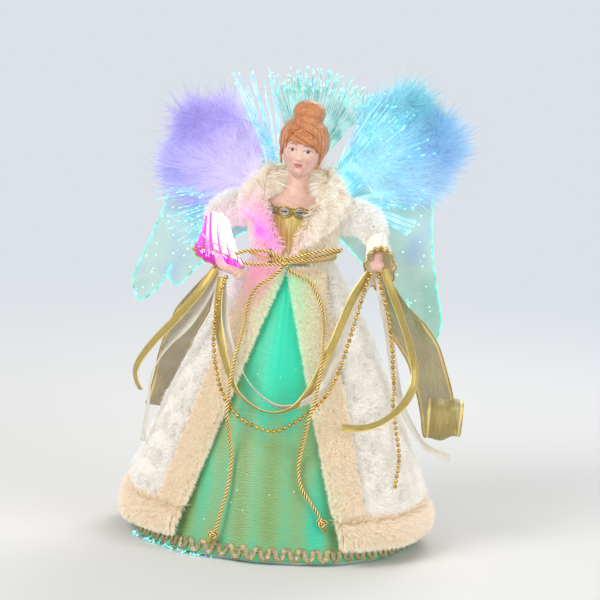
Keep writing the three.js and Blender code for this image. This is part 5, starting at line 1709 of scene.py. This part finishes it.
# %% Fibres of halo, hem and left cuff
chance = random.Random(5)
HALO_ROOT = Vector((0, 33.3, 254.3))
HALO_FIBERS, HEM_FIBERS, LOOSE_FIBERS, CUFF_FIBERS = 165, 96, 34, 44
HALO_FROM, HALO_SPREAD, HALO_REACH, HALO_SLACK = -21, 60, 71, 1.5
STRAND_LOW, STRAND_RISE, STRAND_CUTS, STRAND_LIFT = 4, 176, 12, 0.9
LOOSE_FROM, LOOSE_SPREAD, LOOSE_EXIT = -62, 44, 12
halo = []
for i in range(HALO_FIBERS):
    turn = math.radians(HALO_FROM + HALO_SPREAD * i / (HALO_FIBERS - 1) + chance.uniform(-2, 2))
    reach = HALO_REACH + chance.uniform(-9, 7)
    tip = HALO_ROOT + Vector((reach * math.sin(turn), chance.uniform(-9, 2), reach * math.cos(turn)))
    start = HALO_ROOT + Vector((1.8 * math.sin(turn * 5), chance.uniform(-1.5, 1.5), 0))
    slack = Vector([chance.uniform(-HALO_SLACK, HALO_SLACK) for _ in range(3)])
    middle = (start * MM).lerp(tip * MM, 0.55) + slack * MM
    halo.append(smooth_route([start * MM, middle, tip * MM], 4 * MM))
HALO_LIGHTS = (teal_light, blue_light, teal_light, green_light)
fiber_bundle("halo fibers", FIGURE, halo, HALO_LIGHTS, clear_fiber, "halo_fibers")

hem_fibers = []
steps = [STRAND_LOW + STRAND_RISE * k / STRAND_CUTS for k in range(STRAND_CUTS, -1, -1)]
for i in range(HEM_FIBERS):
    angle = TURN * (i + 0.5) / HEM_FIBERS + chance.uniform(-0.02, 0.02)
    hem_fibers.append([polar(cone_radius(z) + STRAND_LIFT, angle, z) for z in steps])
for i in range(LOOSE_FIBERS):
    angle = math.radians(LOOSE_FROM + LOOSE_SPREAD * i / (LOOSE_FIBERS - 1) + chance.uniform(-2, 2))
    low = chance.uniform(1.6, 2.6)
    hem_fibers.append([
        polar(cone_radius(LOOSE_EXIT) + STRAND_LIFT, angle, LOOSE_EXIT),
        polar(CONE_FOOT + 3, angle, STRAND_LOW),
        polar(dress_radius(angle, 3) + chance.uniform(1, 5), angle + chance.uniform(-0.03, 0.03), low),
    ])
HEM_LIGHTS = (teal_light, teal_light, blue_light)
fiber_bundle("skirt fibers", FIGURE, hem_fibers, HEM_LIGHTS, clear_fiber, "skirt_fibers")

CUFF_ROOT = Vector((-56, -33, 211))
CUFF_START = (Vector((-59.2, -16.4, 220.5)), Vector((-57.6, -26.5, 214.6)))
cuff_fibers = []
for i in range(CUFF_FIBERS):
    start = CUFF_START[0].lerp(CUFF_START[1], chance.random())
    tip = Vector((-46 + chance.uniform(-12, 12), -48 + chance.uniform(-6, 6), 208 + chance.uniform(-5, 10)))
    cuff_fibers.append(smooth_route(at(start, CUFF_ROOT, tip), 3 * MM))
fiber_bundle("sleeve fibers", FIGURE, cuff_fibers, (pink_light,), pink_fiber, "sleeve_fibers")


# %% [markdown]
# Each wing turns on its own hinge, so all of it rides on the wing's body. The clear film keeps its
# solid. Its rim carries light, shown as a thin bright cord along the outline, and fibre ends sparkle in
# its material. Marabou down covers the upper half: a soft lit core under tens of thousands of fine strands.

# %% Wing film and its bright rim
HINGE = Vector((12, 36, 247.3))
WING_TURN = math.radians(4.5)
LOBES = (
    (6, 13), (28, 38), (58, 44), (77, 24), (82, -6), (86, -30), (94, -60), (101, -86), (95, -101),
    (83, -91), (74, -70), (76, -80), (69, -86), (57, -71), (34, -46), (6, -25),
)
NOTCH = 10


def wing_point(side, u, w, y):
    turn = -side * WING_TURN
    x = u * math.cos(turn) - w * math.sin(turn)
    z = u * math.sin(turn) + w * math.cos(turn)
    return Vector((side * (HINGE.x + x), HINGE.y + y, HINGE.z + z)) * MM


def film_material():
    """Clear film with a faint sheen of colour, fine crinkles, a faint teal glow all over as painted light,
    and scattered points of light.
    """
    material, tree, shader = surface("clear wing film", Roughness=0.22, Alpha=0.8, Emission_Strength=0.9)
    where = spot(tree)
    wash = grain(tree, where, 38 * MM, 2.0)
    near = maths(tree, "LESS_THAN", cells(tree, where, 5.5 * MM)["Distance"], 0.12)
    wire(
        shader, Base_Color=ramp(tree, wash, (0.35, "#b4e0d6"), (0.5, "#d3ebe4"), (0.66, "#bcd6ec")),
        Emission_Color=blend(tree, near, paint("#123c38"), paint("#d8fffa")),
    )
    relief(shader, grain(tree, where, 7 * MM, 4.0), 0.8 * MM, 0.6)
    return material


film = film_material()
rim_light = light_material("lit film rim", "#1d9f86", "#6dffdc", 1.2)
for name, side in (("left", -1), ("right", 1)):
    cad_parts[f"wing_film_{name}"].material_slots[0].material = film
    lobes = [[wing_point(side, u, w, 0.5) for u, w in part] for part in (LOBES[:NOTCH + 1], LOBES[NOTCH:])]
    rims = [smooth_route(lobe, 1.5 * MM) for lobe in lobes]
    settle(swept(f"wing rim {name}", rims, 0.55 * MM, 6, rim_light), f"wing_{name}", "fiber")
print("film and rim on both wings")


# %% Marabou down
def down_material(name, pale_tip, power):
    """Feather strands lit from inside: the tint of each place is painted light, mixed into the strands'
    colour and glowing at the root, and fades to pale tips; the grey-blue at the root is painted shade.
    """
    material, tree, shader = surface(name, Roughness=0.8, Sheen_Weight=0.3, Emission_Strength=power)
    tint = mark(tree, "tint", "Color")
    tip = mark(tree, "tip")
    pale = ramp(tree, tip, (0.0, "#a9b6d6"), (0.7, pale_tip))
    fade = maths(tree, "MAXIMUM", maths(tree, "SUBTRACT", mark(tree, "shade"), tip), 0.25)
    wire(
        shader, Base_Color=blend(tree, 0.74, pale, tint),
        Emission_Color=blend(tree, fade, paint("#000000"), tint),
    )
    return material


def core_material():
    material, tree, shader = surface("lit down core", Roughness=0.9, Emission_Strength=0.5)
    puff = grain(tree, spot(tree), 8 * MM, 4.0)
    tone = blend(tree, puff, mark(tree, "tint", "Color"), paint("#f2f6ff"))
    wire(shader, Base_Color=tone, Emission_Color=tone)
    return material


down = down_material("marabou down", "#ffffff", 0.5)
# The wisps end in grey-violet tips: painted shade in place of the white tips of the strands.
wisp = down_material("marabou wisps", "#8f8fbe", 0.1)
core = core_material()
DOWN_OUT = 52
DOWN_WIDE = 42
DOWN_TALL = 46
DOWN_LOBES = 7
DOWN_RISE = {"left": 9, "right": 35}
DOWN_ROOT = {"left": -14, "right": -16}
# Colours of the fibres' light on the white down, painted into it as tints: inner, upper and lower.
DOWN_LIGHT_TINTS = {
    "left": ("#f1eaff", "#9a7af2", "#7aa8f8"),
    "right": ("#d8fbff", "#22cde2", "#7a88f4"),
}


def fill_lobes(form, middle, side):
    """Draws the lobed outline of the solid to a smooth oval, as a thick pad of down has."""
    for vertex in form.data.vertices:
        spoke = vertex.co - middle
        turn = math.atan2(spoke.z / DOWN_TALL, side * spoke.x / DOWN_WIDE)
        full = 0.9 / (1 - 0.07 * (1 - math.cos(DOWN_LOBES * turn)))
        vertex.co += Vector((spoke.x, 0, spoke.z)) * (full - 1)
    form.data.update()


def paint_down_light(form, name, side, middle, root):
    """Painted light: pale near the root of the wing, and further out the tint of one light above and another
    below, in patches.
    """
    inner, upper, lower = [Vector(paint(code)) for code in DOWN_LIGHT_TINTS[name]]
    tints = []
    for vertex in form.data.vertices:
        spoke = (vertex.co - middle) / (44 * MM)
        away = min(1, max(0, (vertex.co - root).length / (105 * MM) - 0.25))
        turn = min(1, max(0, 0.22 + 0.5 * side * spoke.x - 0.5 * spoke.z))
        patch = 0.5 + 0.5 * noise.noise(vertex.co / (16 * MM))
        tints.extend(inner.lerp(upper.lerp(lower, turn), min(1, away * (0.6 + 0.7 * patch))))
    attach(form, "tint", "FLOAT_COLOR", tints)


def make_down(name, side):
    middle = wing_point(side, DOWN_OUT, DOWN_RISE[name], -10)
    root = wing_point(side, 2, DOWN_ROOT[name], -6)
    form = cushion(f"wing_feathers_{name}", f"down core {name}", 3.5 * MM, 8 * MM)
    fill_lobes(form, middle, side)
    paint_down_light(form, name, side, middle, root)
    form.data.materials.append(core)

    def fan(place, normal):
        spoke = place - root
        return Vector((spoke.x, 0, spoke.z)).normalized() + Vector((0, -0.12, 0))

    def front(place, normal):
        return 1.0 if normal.y < 0.3 else 0.45

    def tufted(place, normal):
        return (0.6 + 0.9 * noise.noise(place / (11 * MM))) * (1.2 - 0.6 * max(0, normal.z))

    comb_form(form, fan, front, tufted)
    strands = pile_on(
        form, f"down strands {name}", down, 46000, length=25 * MM, width=0.28 * MM, lean=0.76,
        jitter=0.42, seed=31,
    )
    rim = [max(0.06, 1 - 1.5 * abs(vertex.normal.y)) for vertex in form.data.vertices]
    form.data.attributes["pelt"].data.foreach_set("value", rim)
    wisps = pile_on(
        form, f"down wisps {name}", wisp, 4800, length=33 * MM, width=0.42 * MM, lean=0.72,
        jitter=0.42, seed=32,
    )
    settle(form, f"wing_{name}", "marabou", f"wing_feathers_{name}")
    for piece in (strands, wisps):
        settle(piece, f"wing_{name}", "marabou")


# %% Fibres of the wings
FAN_ROOT = (7, -19)
SPRAYS = {
    "left": ((-48, -14, 50, 86, 60), (58, 84, 56, 80, 24)),
    "right": ((18, 72, 44, 82, 50), (-24, 6, 40, 72, 26)),
}


def make_wing_fibers(name, side, lights):
    """Sprays of fibres from the hinge: lowest and highest angle, shortest and longest reach, and number."""
    fan = random.Random(40 + side)
    out, low_root = FAN_ROOT
    paths = []
    for low, high, near, far, strands in SPRAYS[name]:
        for _ in range(strands):
            turn = math.radians(fan.uniform(low, high))
            reach = fan.uniform(near, far)
            half, bow = 0.5 * reach, turn + 0.12
            tip_out, tip_up = out + reach * math.cos(turn), reach * math.sin(turn) + 6
            paths.append(smooth_route([
                wing_point(side, out, low_root, -0.6),
                wing_point(side, out + half * math.cos(bow), half * math.sin(bow) - 4, -12),
                wing_point(side, tip_out, tip_up, fan.uniform(-28, -14)),
            ], 5 * MM))
    fiber_bundle(f"wing fibers {name}", f"wing_{name}", paths, lights, wing_fiber, f"wing_fibers_{name}")


for name, side, lights in (("left", -1, (blue_light, teal_light)), ("right", 1, (teal_light, blue_light))):
    make_down(name, side)
    make_wing_fibers(name, side, lights)


# %% [markdown]
# What carries the figure shows only from below and behind: a card cone, a moulded base ring, the battery
# box with its sliding cover, and the lamp housing. These solids keep their shape and take finishes of
# their own kinds.

# %% Finishes of the inner works
def works_material(name, base, worn, roughness, size, depth, metallic=0.0):
    """Moulded or pressed stock: a fine grain, a slow change of tone, and relief of the same grain."""
    return grained(
        name, size, 5.0, (0.35, worn), (0.62, base), bump=(depth, 0.4),
        Roughness=roughness, Metallic=metallic,
    )


fiber_sleeve = works_material("black fibre sleeve", "#2c2c2f", "#1d1d1f", 0.6, 0.9 * MM, 0.1 * MM)
WORKS = (
    (
        works_material("grey card", "#cfc8bb", "#b4ac9e", 0.9, 1.5 * MM, 0.1 * MM),
        ("support_cone",),
    ), (
        works_material("white moulded plastic", "#ece9e2", "#dcd8cf", 0.4, 0.8 * MM, 0.04 * MM),
        ("base_ring", "wing_bracket", "led_housing", "battery_box", "battery_cover"),
    ), (
        works_material("black moulded plastic", "#232325", "#151516", 0.45, 0.7 * MM, 0.05 * MM),
        ("switch_knob",),
    ), (
        works_material("nickel-plated steel", "#c9c9c6", "#a3a39f", 0.28, 0.6 * MM, 0.03 * MM, 1.0),
        ("battery_cover_screw", "contact_strip_top", "contact_strip_bottom"),
    ), (
        works_material("shrink-wrapped cell jacket", "#3f5f74", "#314b5c", 0.3, 3 * MM, 0.03 * MM),
        ("battery_1", "battery_2", "battery_3"),
    ), (
        works_material("green circuit board", "#2f6b45", "#23533a", 0.35, 1.2 * MM, 0.05 * MM),
        ("led_board",),
    ), (
        fiber_sleeve,
        ("power_lead", "fiber_trunk_left", "fiber_trunk_right"),
    ), (
        works_material("white foam", "#efece4", "#dedad0", 0.95, 1.1 * MM, 0.2 * MM),
        ("torso_form",),
    ),
)
for finish, names in WORKS:
    for node in names:
        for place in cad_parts[node].material_slots:
            place.material = finish
trunk = smooth_route(at(
    (0, 8, 160), (0, 8, 189.3), (0, 13, 203.3), (0, 20, 218), (0, 31, 223), (0, 33.3, 230), (0, 33.3, 257.3),
), 3 * MM)
settle(swept("halo trunk", [trunk], 1.6 * MM, 10, fiber_sleeve), FIGURE, "trunk_sleeve")
print("finishes on", sum(len(names) for _, names in WORKS), "solids")


# %% [markdown]
# The hair blade was only a pattern for the pile, so it goes.

# %% The end
discard(blade)
